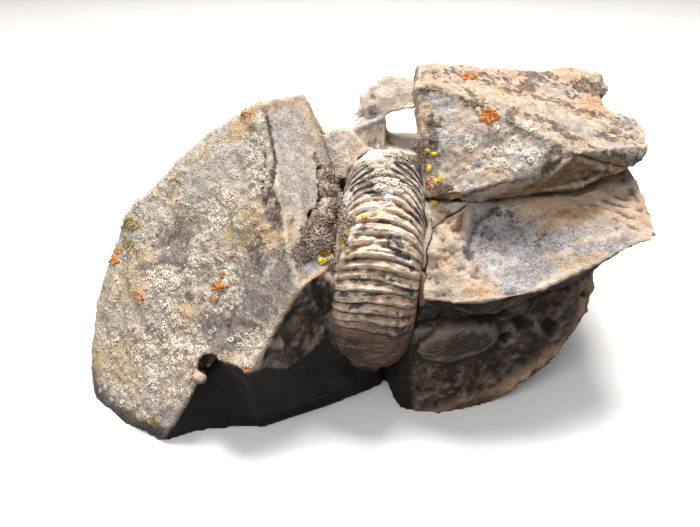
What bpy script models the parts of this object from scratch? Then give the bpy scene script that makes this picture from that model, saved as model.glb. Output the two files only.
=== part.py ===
"""An ammonite weathering out of a broken piece of rock.

The rock is made as the real one broke: each lump is the convex hull of its own corners, the lumps
are joined, and the open places are struck off with cutters. The ammonite is one grid, worked out
from the spiral that its outer edge follows, and it lies in a pocket of its own shape.

Run it with: blender --background --python part.py
All sizes below are in millimetres. +X is to the right, +Y away from the viewer and +Z up. The
origin is on the ground, under the middle of the piece.
"""

import math

import bmesh
import bpy
from mathutils import Matrix, Vector, noise

MM = 0.001
GAP = 0.3  # between pieces that touch
CRACK = 0.45  # between the upper block and the rock round it

# The ammonite's coil. Angles go from the front, 0, over the top, 90, to the back, 180.
COIL_CENTRE = (3.6, -9.2, 24.2)
COIL_YAW = 5.8  # degrees that the coil's plane is turned about +Z
COIL_LEAN = 3.2  # degrees that it leans to the right
FRONT_RADIUS = 22.0
GROWTH_PER_TURN = 1.5
WHORL_HALF_WIDTH = 8.3
WHORL_STEPS = 8
WHORL_SHOULDER = 0.36  # depth of the whorl's arch, as a share of the radius
RIBS_PER_TURN = 64
RIB_HEIGHT = 0.7
RIB_FORWARD = 2.0  # how far a rib bows forward at the middle of the outer edge
RIBBED_FROM, RIBBED_TO = -105.0, 150.0  # the stretch that is out of the rock
BURIED_COLUMNS = 12  # over the rest, which runs back to the start in an even curve

# The rock's surface.
FACET = 9.9  # longest edge of a rock facet
HALVINGS = 4  # the longest hull edge is under 16 facets
LUMP_SIZE = 17.0
LUMP_HEIGHT = 1.1

# Corners of the big left slab: its weathered face, the fresh strip beside it, then its back.
RIDGE_TOP = (-19.5, -3.2, 57.9)
RIDGE_FOOT = (-11.7, -32.0, 33.5)
SLAB_TOE = (-39.6, -35.6, -1.0)
SLAB_BEAK = (-20.4, -36.8, 18.9)
SLAB_NICK = (-27.8, -31.2, 17.7)
SLAB = [
    RIDGE_TOP,
    RIDGE_FOOT,
    SLAB_BEAK,
    SLAB_TOE,
    (-17.9, -35.2, 18.7),
    (-32.4, 1.6, 49.1),
    (-45.4, 0.8, 36.5),
    (-53.5, 0.8, 29.3),
    (-58.6, -6.4, 14.3),
    (-58.9, -16.0, 2.3),
    (-56.8, -23.1, -1.0),
    (-48.9, -30.6, -1.0),
    (-12.1, 5.6, 57.3),
    (-8.5, -1.6, 47.6),
    (-6.5, -23.2, 33.7),
    (-1.0, -20.0, 29.0),
    (-5.0, -3.0, 38.5),
    (-6.9, -24.0, 18.7),
    (-13.9, -30.4, 15.1),
    (-20.2, -30.6, -4.0),
    (6.0, -17.0, -4.0),
    (-14.0, 15.0, 51.0),
    (-34.0, 17.0, 41.0),
    (-50.0, 14.0, 27.0),
    (-55.0, 8.0, -4.0),
    (-40.0, 24.0, -4.0),
    (0.0, 22.0, -4.0),
    (-3.0, 20.0, 35.0),
]
# What is missing under the slab's lower edge, between its toe and its beak.
UNDERCUT = [
    (-41.0, -36.2, -3.0),
    SLAB_NICK,
    (-20.4, -38.8, 19.4),
    (-19.0, -30.6, -6.0),
    (-34.3, -32.6, -6.0),
    (-45.0, -50.0, -6.0),
    (-10.0, -50.0, -6.0),
    (-14.0, -50.0, 19.0),
]

# A round hollow where a pebble fell out of the slab's lower edge.
PEBBLE_HOLLOW = (-29.0, -32.6, 16.0)
PEBBLE_RADIUS = 2.6

# The ledge on the right, with a sloping top that meets the crack.
LEDGE = [
    (10.9, -28.0, 28.6),
    (16.5, -31.2, 29.2),
    (24.5, -31.2, 30.3),
    (31.8, -29.6, 31.6),
    (40.8, -25.6, 33.4),
    (47.6, -23.2, 35.8),
    (55.1, -20.8, 37.7),
    (56.0, -12.0, 40.8),
    (55.5, -4.8, 43.0),
    (11.0, -15.0, 41.6),
    (20.2, -14.4, 41.8),
    (30.2, -12.8, 41.4),
    (42.6, -9.6, 41.0),
    (14.0, 26.0, 42.0),
    (40.0, 30.0, 42.0),
    (54.0, 20.0, 43.0),
    (11.0, -26.0, 24.0),
    (24.0, -29.0, 25.6),
    (40.0, -22.0, 29.0),
    (50.0, 16.0, 30.0),
    (14.0, 26.0, 24.0),
    (40.0, 30.0, 26.0),
]
# The rounded mass below the ledge.
LOWER_MASS = [
    (46.2, -14.4, 27.3),
    (46.3, -16.0, 18.1),
    (40.7, -19.2, 8.9),
    (35.0, -22.4, 5.0),
    (28.9, -24.0, 1.0),
    (22.6, -25.6, -1.0),
    (16.2, -26.8, -4.0),
    (8.0, -26.0, -4.0),
    (5.5, -20.0, 6.0),
    (9.0, -25.0, 22.0),
    (14.0, -27.0, 25.0),
    (38.0, -21.0, 31.0),
    (47.0, 8.0, 30.0),
    (48.0, 14.0, 12.0),
    (40.0, 20.0, -4.0),
    (40.0, 28.0, 10.0),
    (38.0, 30.0, 32.0),
    (6.0, 30.0, -4.0),
    (14.0, 26.0, 28.0),
    (4.0, -8.0, -4.0),
]
# The rear of the rock: a wall, a post and the arch that closes the window.
REAR_WALL = [
    (-40.0, 18.0, -4.0),
    (-34.0, 30.0, -4.0),
    (0.0, 36.0, -4.0),
    (24.0, 36.0, -4.0),
    (34.0, 22.0, -4.0),
    (-30.0, 14.0, 30.0),
    (-26.0, 28.0, 28.0),
    (-4.0, 32.0, 40.5),
    (20.0, 32.0, 39.5),
    (-4.0, 18.0, 41.0),
    (21.0, 18.0, 39.0),
    (22.0, 34.0, 33.0),
]
REAR_POST = [
    (-12.0, 14.0, 42.0),
    (-8.6, 25.6, 45.3),
    (-1.5, 24.6, 46.6),
    (6.0, 22.0, 47.5),
    (7.0, 23.0, 40.0),
    (7.0, 32.0, 38.0),
    (4.0, 32.0, 48.0),
    (-9.0, 31.0, 42.0),
    (-16.0, 26.0, 38.0),
    (-20.0, 16.0, 20.0),
    (-20.0, 30.0, 20.0),
    (8.0, 33.0, 20.0),
    (6.0, 16.0, 20.0),
]
ARCH = [
    (-0.5, 23.0, 47.5),
    (0.7, 25.0, 51.1),
    (2.8, 25.0, 53.3),
    (6.9, 25.6, 55.4),
    (12.3, 25.6, 55.3),
    (22.0, 26.0, 55.5),
    (6.6, 22.0, 47.8),
    (13.0, 22.0, 49.5),
    (22.0, 22.0, 50.5),
    (2.0, 32.0, 46.5),
    (8.0, 33.0, 48.0),
    (22.0, 33.0, 49.0),
    (6.0, 32.5, 53.5),
    (20.0, 32.5, 54.5),
]
# The arch's right end stands on the rock behind the block.
ARCH_FOOT = [
    (15.5, 21.0, 56.0),
    (15.5, 33.0, 54.0),
    (15.5, 20.0, 30.0),
    (16.0, 34.0, 30.0),
    (26.0, 21.0, 56.0),
    (26.0, 32.0, 54.0),
    (28.0, 20.0, 30.0),
    (28.0, 34.0, 30.0),
]
# A stub of rock left standing at the head of the valley.
VALLEY_STUB = [
    (-9.0, 3.0, 47.8),
    (-7.5, 3.0, 49.6),
    (-4.5, 3.5, 50.4),
    (-2.0, 3.5, 49.6),
    (0.8, 2.0, 46.6),
    (-8.5, 10.0, 47.5),
    (-2.0, 10.0, 47.0),
    (-9.0, -2.0, 42.0),
    (-1.0, -4.0, 42.0),
    (-10.0, 14.0, 38.0),
    (0.0, 14.0, 38.0),
]

# The block above the crack.
BLOCK = [
    (12.9, -14.4, 43.4),
    (10.4, 0.0, 60.5),
    (12.0, 8.0, 62.4),
    (15.1, -1.9, 60.4),
    (20.6, -4.7, 59.3),
    (25.9, -8.4, 57.1),
    (31.0, -11.7, 55.3),
    (38.1, -16.8, 52.6),
    (19.6, -16.8, 45.5),
    (33.2, -17.6, 48.8),
    (45.4, -12.8, 49.6),
    (53.5, -8.8, 46.6),
    (57.1, -4.8, 49.9),
    (59.0, 8.0, 50.8),
    (24.2, 19.2, 59.0),
    (39.9, 23.2, 57.1),
    (13.0, 18.0, 58.0),
    (13.0, 18.5, 43.5),
    (12.0, -12.0, 42.4),
    (20.2, -14.2, 42.4),
    (30.2, -12.6, 42.3),
    (42.6, -9.4, 42.6),
    (46.4, -8.0, 43.2),
    (55.5, -4.8, 45.4),
    (56.0, 18.0, 45.6),
    (40.0, 27.0, 44.0),
    (28.0, 19.0, 43.5),
]
# The knob at the back of the block.
KNOB = [
    (41.0, 26.0, 56.4),
    (51.0, 28.8, 57.2),
    (56.7, 28.8, 56.2),
    (59.4, 28.0, 52.6),
    (57.0, 26.0, 49.0),
    (57.0, 33.0, 49.0),
    (44.0, 34.0, 50.0),
    (34.0, 20.0, 50.0),
    (52.0, 12.0, 48.0),
    (44.0, 30.0, 45.0),
    (54.0, 26.0, 45.6),
]
# What is missing under the block's lip.
LIP_NOTCH = [
    (33.0, -18.4, 48.0),
    (38.1, -17.6, 52.4),
    (46.0, -13.6, 49.4),
    (44.0, -9.0, 44.0),
    (33.0, -12.0, 43.5),
    (38.0, -30.0, 44.0),
    (38.0, -30.0, 50.0),
]

# The hollow that another ammonite left in the ledge.
MOULD_CENTRE = (27.1, -34.8, 56.5)
MOULD_RADIUS = 26.0

# The moss in the valley between the slab and the ammonite, as (x, y, z, radius).
MOSS_TUFTS = [
    (-8.6, -20.2, 36.0, 3.2),
    (-8.2, -16.8, 38.0, 3.4),
    (-7.0, -13.4, 39.6, 2.9),
    (-7.2, -10.4, 41.4, 2.6),
    (-7.6, -7.4, 43.6, 2.5),
]


def clear_scene():
    for obj in list(bpy.data.objects):
        bpy.data.objects.remove(obj)


def new_collection(name, shown):
    collection = bpy.data.collections.new(name)
    bpy.context.scene.collection.children.link(collection)
    collection.hide_render = not shown
    return collection


def new_material(name, colour, roughness):
    material = bpy.data.materials.new(name)
    material.use_nodes = True
    shader = material.node_tree.nodes["Principled BSDF"]
    shader.inputs["Base Color"].default_value = (*colour, 1.0)
    shader.inputs["Roughness"].default_value = roughness
    shader.inputs["Metallic"].default_value = 0.0
    return material


def add_object(name, bm, collection):
    mesh = bpy.data.meshes.new(name)
    bm.to_mesh(mesh)
    bm.free()
    obj = bpy.data.objects.new(name, mesh)
    collection.objects.link(obj)
    return obj


def add_cutter(name, bm):
    obj = add_object(name, bm, helpers)
    obj.hide_render = True
    obj.display_type = "WIRE"
    return obj


def split_long_edges(bm, longest):
    """Halves every edge over the longest allowed, as often as the longest hull needs."""
    bmesh.ops.triangulate(bm, faces=bm.faces)
    for _ in range(HALVINGS):
        long_edges = [edge for edge in bm.edges if edge.calc_length() > longest * MM]
        bmesh.ops.subdivide_edges(bm, edges=long_edges, cuts=1)
        bmesh.ops.triangulate(bm, faces=bm.faces)


def roughen(bm, height, swell):
    """Moves each vertex along its normal by the swell and a smooth noise of its place."""
    bm.normal_update()
    moves = {}
    for vertex in bm.verts:
        lump = noise.fractal(vertex.co / (LUMP_SIZE * MM), 1.0, 2.0, 3)
        moves[vertex] = vertex.normal * (lump * height + swell) * MM
    for vertex, move in moves.items():
        vertex.co += move


def hull(corners, height=LUMP_HEIGHT, swell=0.0):
    """A lump of rock: the convex hull of its corners, in facets with a rough surface."""
    bm = bmesh.new()
    for corner in corners:
        bm.verts.new(Vector(corner) * MM)
    made = bmesh.ops.convex_hull(bm, input=bm.verts)
    spare = {item for item in made["geom_interior"] if isinstance(item, bmesh.types.BMVert)}
    bmesh.ops.delete(bm, geom=list(spare), context="VERTS")
    bmesh.ops.recalc_face_normals(bm, faces=bm.faces)
    split_long_edges(bm, FACET)
    roughen(bm, height, swell)
    return bm


def combine(target, other, operation):
    boolean = target.modifiers.new(f"{operation.lower()} {other.name}", "BOOLEAN")
    boolean.object = other
    boolean.operation = operation
    boolean.solver = "EXACT"


def coil_frame():
    """The coil's own axes: X along its axis, -Y to the front and Z to the top."""
    turn = Matrix.Rotation(math.radians(-COIL_YAW), 4, "Z")
    lean = Matrix.Rotation(math.radians(COIL_LEAN), 4, "Y")
    return Matrix.Translation(Vector(COIL_CENTRE) * MM) @ turn @ lean


def coil_radius(angle):
    """The outer edge's radius: it grows over the ribbed stretch and eases back over the rest."""
    if angle <= RIBBED_TO:
        return FRONT_RADIUS * GROWTH_PER_TURN ** (angle / 360.0)
    share = (angle - RIBBED_TO) / (RIBBED_FROM + 360.0 - RIBBED_TO)
    ease = share * share * (3.0 - 2.0 * share)
    grown, small = coil_radius(RIBBED_TO), coil_radius(RIBBED_FROM)
    return grown + (small - grown) * ease


def whorl_section():
    """Points from one side's centre over the outer edge to the other side's centre.

    Each is (share of the radius, side, share of the half width), with side from -1 to 1.
    """
    flank = [(0.42, 0.40), (0.56, 0.78)]
    points = [(share, -1.0, wide) for share, wide in flank]
    for step in range(WHORL_STEPS + 1):
        tilt = math.pi * (step / WHORL_STEPS - 0.5)
        share = 1.0 - WHORL_SHOULDER * (1.0 - math.cos(tilt) ** 0.8)
        points.append((share, math.sin(tilt), abs(math.sin(tilt)) ** 0.9))
    points += [(share, 1.0, wide) for share, wide in reversed(flank)]
    return points


def coil_columns():
    """The angle of each column round the coil, and whether a groove runs along it."""
    count = round((RIBBED_TO - RIBBED_FROM) * RIBS_PER_TURN / 180.0)
    step = (RIBBED_TO - RIBBED_FROM) / count
    ribbed = [(RIBBED_FROM + step * number, number % 2) for number in range(count)]
    step = (RIBBED_FROM + 360.0 - RIBBED_TO) / BURIED_COLUMNS
    return ribbed + [(RIBBED_TO + step * number, 0) for number in range(BURIED_COLUMNS)]


def coil_grid(swell, rib_height):
    """The ammonite as a closed grid: columns round the coil, rows over the whorl.

    Without ribs, the columns that would be grooves are left out.
    """
    section = whorl_section()
    frame = coil_frame()
    bm = bmesh.new()
    hub_left = bm.verts.new(frame @ (Vector((-0.38 * WHORL_HALF_WIDTH - swell, 0, 0)) * MM))
    hub_right = bm.verts.new(frame @ (Vector((0.38 * WHORL_HALF_WIDTH + swell, 0, 0)) * MM))
    columns = []
    for angle, grooved in coil_columns():
        if grooved and rib_height == 0.0:
            continue
        radius = coil_radius(angle)
        column = []
        for share, side, wide in section:
            outward = math.sqrt(1.0 - side * side)
            turned = math.radians(angle) + RIB_FORWARD * outward * outward / radius
            reach = share * radius + swell * outward
            reach -= rib_height * grooved * math.sqrt(outward)
            place = Vector((0.0, -math.cos(turned), math.sin(turned))) * reach
            if abs(side) > 0.001:
                place.x = math.copysign(wide * WHORL_HALF_WIDTH + swell, side)
            column.append(bm.verts.new(frame @ (place * MM)))
        columns.append(column)
    for here, after in zip(columns, columns[1:] + columns[:1]):
        bm.faces.new((hub_left, here[0], after[0]))
        bm.faces.new((hub_right, after[-1], here[-1]))
        for row in range(len(section) - 1):
            bm.faces.new((here[row], here[row + 1], after[row + 1], after[row]))
    bmesh.ops.recalc_face_normals(bm, faces=bm.faces)
    bmesh.ops.triangulate(bm, faces=bm.faces)
    return bm


def ball(centre, radius, subdivisions):
    bm = bmesh.new()
    place = Matrix.Translation(Vector(centre) * MM)
    bmesh.ops.create_icosphere(
        bm, subdivisions=subdivisions, radius=radius * MM, matrix=place
    )
    return bm


def moss(name, add, swell):
    """The row of tufts, each a lumpy ball, joined into one cushion."""
    first = None
    for number, (x, y, z, radius) in enumerate(MOSS_TUFTS):
        bm = ball((x, y, z), radius + swell, 2)
        if first is None:
            first = add(name, bm)
        else:
            combine(first, add_cutter(f"{name}_tuft_{number}", bm), "UNION")
    return first


def finish(obj, material):
    obj.data.materials.append(material)
    obj.data.shade_smooth()
    obj.data.set_sharp_from_angle(angle=math.radians(28))


clear_scene()
fossil = new_collection("ammonite_fossil", shown=True)
helpers = new_collection("cutters", shown=False)

stone = new_material("weathered_stone", (0.42, 0.37, 0.30), 0.92)
shell = new_material("fossil_shell", (0.56, 0.47, 0.38), 0.55)
dry_moss = new_material("dry_moss", (0.12, 0.09, 0.07), 1.0)

pocket = add_cutter("ammonite_pocket", coil_grid(GAP, 0.0))
ground = bmesh.new()
bmesh.ops.create_cube(ground, size=200 * MM, matrix=Matrix.Translation((0, 0, -100 * MM)))
ground = add_cutter("ground", ground)

matrix_rock = add_object("matrix_rock", hull(SLAB), fossil)
combine(matrix_rock, add_cutter("undercut", hull(UNDERCUT)), "DIFFERENCE")
combine(matrix_rock, add_cutter("pebble", ball(PEBBLE_HOLLOW, PEBBLE_RADIUS, 3)), "DIFFERENCE")
lumps = {
    "ledge": LEDGE,
    "lower_mass": LOWER_MASS,
    "rear_wall": REAR_WALL,
    "rear_post": REAR_POST,
    "arch": ARCH,
    "arch_foot": ARCH_FOOT,
    "valley_stub": VALLEY_STUB,
}
for lump_name, corners in lumps.items():
    combine(matrix_rock, add_cutter(lump_name, hull(corners)), "UNION")
combine(matrix_rock, add_cutter("mould", ball(MOULD_CENTRE, MOULD_RADIUS, 4)), "DIFFERENCE")
combine(matrix_rock, add_cutter("block_seat", hull(BLOCK, swell=CRACK)), "DIFFERENCE")
combine(matrix_rock, add_cutter("knob_seat", hull(KNOB, swell=CRACK)), "DIFFERENCE")
combine(matrix_rock, moss("moss_seat", add_cutter, GAP), "DIFFERENCE")
combine(matrix_rock, pocket, "DIFFERENCE")
combine(matrix_rock, ground, "DIFFERENCE")

upper_block = add_object("upper_block", hull(BLOCK), fossil)
combine(upper_block, add_cutter("knob", hull(KNOB)), "UNION")
combine(upper_block, add_cutter("lip_notch", hull(LIP_NOTCH, 0.5)), "DIFFERENCE")
combine(upper_block, pocket, "DIFFERENCE")

ammonite = add_object("ammonite", coil_grid(0.0, RIB_HEIGHT), fossil)

moss_cushion = moss("moss_cushion", lambda name, bm: add_object(name, bm, fossil), 0.0)
combine(moss_cushion, pocket, "DIFFERENCE")

finish(matrix_rock, stone)
finish(upper_block, stone)
finish(ammonite, shell)
finish(moss_cushion, dry_moss)
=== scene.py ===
# %% [markdown]
# # An ammonite in its rock
#
# A broken stone lies on a pale floor. The edge of a ribbed ammonite stands out of it, a thick
# lichen crust covers the left side, and dry moss fills the gap beside the shell. This lesson
# dresses the plain solids: each piece of rock is made finer and roughened by its own landscape of
# numbers, the ammonite is worked out anew from its spiral, and the growths are laid on top.
#
# The solids come first. They are the frame that every piece below is measured against.

import math

import bpy
import numpy as np
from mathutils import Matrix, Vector
from mathutils.bvhtree import BVHTree


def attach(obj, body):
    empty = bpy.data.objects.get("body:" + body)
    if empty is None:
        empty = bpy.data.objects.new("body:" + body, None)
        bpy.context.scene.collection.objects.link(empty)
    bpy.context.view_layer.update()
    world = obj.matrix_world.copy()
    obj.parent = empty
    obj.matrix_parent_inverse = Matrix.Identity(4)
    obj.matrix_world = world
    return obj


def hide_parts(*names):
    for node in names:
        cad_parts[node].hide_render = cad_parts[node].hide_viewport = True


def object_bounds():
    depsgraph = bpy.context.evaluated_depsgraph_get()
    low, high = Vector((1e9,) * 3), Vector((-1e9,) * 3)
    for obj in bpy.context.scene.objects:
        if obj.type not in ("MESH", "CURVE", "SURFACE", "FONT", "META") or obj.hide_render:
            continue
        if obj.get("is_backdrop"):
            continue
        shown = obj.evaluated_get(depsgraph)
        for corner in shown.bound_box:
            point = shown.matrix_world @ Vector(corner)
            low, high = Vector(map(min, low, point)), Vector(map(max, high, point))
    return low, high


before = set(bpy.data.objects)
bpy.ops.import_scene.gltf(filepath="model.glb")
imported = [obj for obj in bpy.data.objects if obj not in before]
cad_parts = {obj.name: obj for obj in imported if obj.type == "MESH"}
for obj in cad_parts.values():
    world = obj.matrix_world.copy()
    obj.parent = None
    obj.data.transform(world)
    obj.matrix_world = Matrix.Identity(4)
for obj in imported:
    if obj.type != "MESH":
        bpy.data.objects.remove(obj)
cad_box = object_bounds()
MM = 0.001
print("solids:", sorted(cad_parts))

# %% [markdown]
# ## The camera
#
# The view is a close one that looks down by 30 degrees, so the near slab looks large and the rear
# rim small. A camera could be set up by hand in the viewport. Here its numbers are kept by name,
# because the marks on the stone are placed with them further on.

# %% The camera
PICTURE_WIDTH, PICTURE_HEIGHT = 700, 527
LENS, SENSOR = 35.0, 36.0
EYE = np.array((-2.4, -133.4, 97.0))
DOWN_TILT = math.radians(30.0)
FOCAL = PICTURE_WIDTH * LENS / SENSOR
AHEAD = np.array((0.0, math.cos(DOWN_TILT), -math.sin(DOWN_TILT)))
UPWARD = np.array((0.0, math.sin(DOWN_TILT), math.cos(DOWN_TILT)))

lens = bpy.data.cameras.new("camera")
lens.lens, lens.sensor_width, lens.clip_start = LENS, SENSOR, 0.005
camera = bpy.data.objects.new("camera", lens)
bpy.context.scene.collection.objects.link(camera)
camera.location = EYE * MM
camera.rotation_euler = (math.pi / 2 - DOWN_TILT, 0.0, 0.0)
bpy.context.scene.camera = camera
print("the camera is", round(float(np.linalg.norm(EYE))), "mm from the origin")

# %% [markdown]
# ## From a point to the picture, and back
#
# Marks could be measured on the stone, but pointing at them in the picture is how a person does
# it. A camera's own sum says where a point appears: its offset across the axis, over its depth.
# Turned round, the sum gives the line of sight through a place, which meets the stone somewhere.


# %% Where a point lies in the picture
def in_picture(points):
    """Picture column and row of points in mm: offsets from the axis, over the depth, times FOCAL."""
    offset = points - EYE
    depth = offset @ AHEAD
    column = PICTURE_WIDTH / 2 + FOCAL * offset[:, 0] / depth
    row = PICTURE_HEIGHT / 2 - FOCAL * (offset @ UPWARD) / depth
    return np.stack([column, row], axis=1)


def sight_line(column, row):
    """The unit direction from the eye through a place in the picture."""
    right = (column - PICTURE_WIDTH / 2) / FOCAL
    rise = (PICTURE_HEIGHT / 2 - row) / FOCAL
    line = AHEAD + rise * UPWARD + np.array((right, 0.0, 0.0))
    return line / np.linalg.norm(line)


print("the origin appears at", in_picture(np.zeros((1, 3)))[0].round())

# %% [markdown]
# ## The floor
#
# The floor is one large square that serves the picture only, and its is_backdrop mark says so. It
# is made like all meshes here: arrays of corners and faces go in at one stroke, which is much
# faster than adding them one by one.


# %% The floor
def add_mesh(name, verts, faces):
    """A mesh object at the origin from arrays: corners in mm, and faces of one size."""
    mesh = bpy.data.meshes.new(name)
    faces = np.asarray(faces, np.int32)
    count, sides = faces.shape
    mesh.vertices.add(len(verts))
    mesh.vertices.foreach_set("co", np.asarray(verts, np.float32).ravel() * MM)
    mesh.loops.add(count * sides)
    mesh.loops.foreach_set("vertex_index", faces.ravel())
    mesh.polygons.add(count)
    mesh.polygons.foreach_set("loop_start", np.arange(0, count * sides, sides, dtype=np.int32))
    mesh.update(calc_edges=True)
    mesh.polygons.foreach_set("use_smooth", np.ones(count, bool))
    obj = bpy.data.objects.new(name, mesh)
    bpy.context.scene.collection.objects.link(obj)
    return obj


FLOOR_REACH = 4000.0
floor = add_mesh(
    "floor",
    [(-FLOOR_REACH, -FLOOR_REACH, 0), (FLOOR_REACH, -FLOOR_REACH, 0),
     (FLOOR_REACH, FLOOR_REACH, 0), (-FLOOR_REACH, FLOOR_REACH, 0)],
    [(0, 1, 2, 3)],
)
floor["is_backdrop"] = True
print("the floor reaches", FLOOR_REACH / 1000.0, "m each way")

# %% [markdown]
# ## Light
#
# One strong soft lamp overhead throws the shadows under the ledge and the shell, and a weak one
# from the front left keeps them open. A white floor this large would light the underside far more
# than real ground does, so it sends no light back. The world is a dome that is dark below and
# bright above. It could be an image of a sky, but nothing here is shiny enough to show one. The
# camera sees a plain pale backdrop in its place.


# %% Lamps and world
def add_lamp(name, place, aim, size, watts, colour):
    """A soft square lamp at a place in mm, turned to face its aim."""
    data = bpy.data.lights.new(name, "AREA")
    data.shape, data.size, data.energy, data.color = "SQUARE", size * MM, watts, colour
    lamp = bpy.data.objects.new(name, data)
    bpy.context.scene.collection.objects.link(lamp)
    lamp.location = Vector(place) * MM
    lamp.rotation_euler = (Vector(aim) - Vector(place)).to_track_quat("-Z", "Y").to_euler()
    return lamp


add_lamp("overhead", (30, 110, 540), (0, 0, 20), 200, 4.6, (1.0, 0.975, 0.94))
add_lamp("front_fill", (-200, -340, 360), (0, 0, 20), 260, 1.15, (0.97, 0.98, 1.0))
floor.visible_diffuse = False

world = bpy.data.worlds.new("studio")
bpy.context.scene.world = world
world.use_nodes = True
nodes, join = world.node_tree.nodes, world.node_tree.links.new
sky = nodes["Background"]
sky.inputs["Strength"].default_value = 0.42
direction = nodes.new("ShaderNodeTexCoord")
height = nodes.new("ShaderNodeSeparateXYZ")
dome = nodes.new("ShaderNodeValToRGB")
dome.color_ramp.elements[0].position, dome.color_ramp.elements[1].position = 0.0, 0.35
dome.color_ramp.elements[0].color = (0.05, 0.045, 0.04, 1.0)
backdrop = nodes.new("ShaderNodeBackground")
backdrop.inputs["Color"].default_value = (0.93, 0.93, 0.92, 1.0)
seen_directly = nodes.new("ShaderNodeLightPath")
choice = nodes.new("ShaderNodeMixShader")
join(direction.outputs["Generated"], height.inputs[0])
join(height.outputs["Z"], dome.inputs["Fac"])
join(dome.outputs["Color"], sky.inputs["Color"])
join(seen_directly.outputs["Is Camera Ray"], choice.inputs[0])
join(sky.outputs[0], choice.inputs[1])
join(backdrop.outputs[0], choice.inputs[2])
join(choice.outputs[0], nodes["World Output"].inputs["Surface"])
bpy.context.scene.view_settings.view_transform = "Standard"

# %% [markdown]
# ## Numbers that look like stone
#
# Stone has no formula, but it has scales: broad swellings, thumb-sized facets, grains. A smooth
# noise gives one scale, and a sum of ever smaller ones gives them all. The noise here is worked
# out on whole arrays: each point looks up random values at the corners of its cell and blends
# them, so a hundred thousand points take no loop.


# %% Noise on arrays
WELL_AWAY = 1000.0  # added to every place, so that cells are counted from zero upwards


def lattice(cells, seed):
    """A fixed random number from -1 to 1 for each whole-number cell: mixed by multiplication."""
    x, y, z = (cells[..., axis].astype(np.uint64) for axis in range(3))
    mixed = x * np.uint64(73856093) ^ y * np.uint64(19349663) ^ z * np.uint64(83492791)
    mixed = (mixed ^ np.uint64(seed * 2654435761)) & np.uint64(0xFFFFFFFF)
    for shift, factor in ((16, 0x45D9F3B), (15, 0x2C1B3C6D), (16, 0x297A2D39)):
        mixed = ((mixed ^ (mixed >> np.uint64(shift))) * np.uint64(factor)) & np.uint64(0xFFFFFFFF)
    return mixed.astype(np.float64) / 2147483647.5 - 1.0


def smooth_noise(points, size, seed):
    """Values at cell corners, blended by an eased distance to each: smooth, from -1 to 1."""
    scaled = points / size + WELL_AWAY
    cell = np.floor(scaled).astype(np.int64)
    part = scaled - cell
    part = part * part * (3.0 - 2.0 * part)
    total = np.zeros(len(points))
    for corner in np.ndindex(2, 2, 2):
        step = np.array(corner)
        weight = np.prod(np.where(step, part, 1.0 - part), axis=1)
        total += weight * lattice(cell + step, seed)
    return total


def layered_noise(points, size, layers, seed):
    """Each layer is half the size and half the height of the one before."""
    total = np.zeros(len(points))
    for layer in range(layers):
        total += smooth_noise(points, size / 2**layer, seed + layer) / 2**layer
    return total


def inside_grain(points, size, seed):
    """0 on the border between two grains, and more inside: each cell holds one random grain, and
    the distance to the nearest, in cells, is taken from the distance to the next nearest."""
    scaled = points / size + WELL_AWAY
    cell = np.floor(scaled).astype(np.int64)
    first = np.full(len(points), 9.0)
    second = np.full(len(points), 9.0)
    for shift in np.ndindex(3, 3, 3):
        here = cell + np.array(shift) - 1
        grain = np.stack([lattice(here, seed + axis) for axis in range(3)], axis=1)
        away = np.linalg.norm(here + 0.5 + 0.45 * grain - scaled, axis=1)
        second = np.minimum(second, np.maximum(first, away))
        first = np.minimum(first, away)
    return second - first


def ease(values, start, end):
    """0 before start and 1 after end, with a smooth rise between."""
    share = np.clip((values - start) / (end - start), 0.0, 1.0)
    return share * share * (3.0 - 2.0 * share)


def in_steps(values, start):
    """Values rounded down, and a smooth rise to the next whole number over the last part."""
    return np.floor(values) + ease(values % 1.0, start, 1.0)


def unit(vectors):
    """Each row divided by its length."""
    return vectors / np.maximum(np.linalg.norm(vectors, axis=1), 1e-9)[:, None]


print("noise at the origin:", smooth_noise(np.zeros((1, 3)), 5.0, 1).round(3))

# %% [markdown]
# ## Marks on the stone
#
# A broken and weathered stone is full of marks: stains, chips, cracks, the prints of other
# shells. They could be painted by hand on an unwrapped surface. Here each one is a soft patch, a
# line or a step with a place in the picture and a size, and touches only surfaces that face the
# viewer. `Stone` keeps what marks need: the points, which way each faces, and where it is seen.


# %% Patches, lines and steps
MM_PER_PIXEL = 0.19


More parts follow.
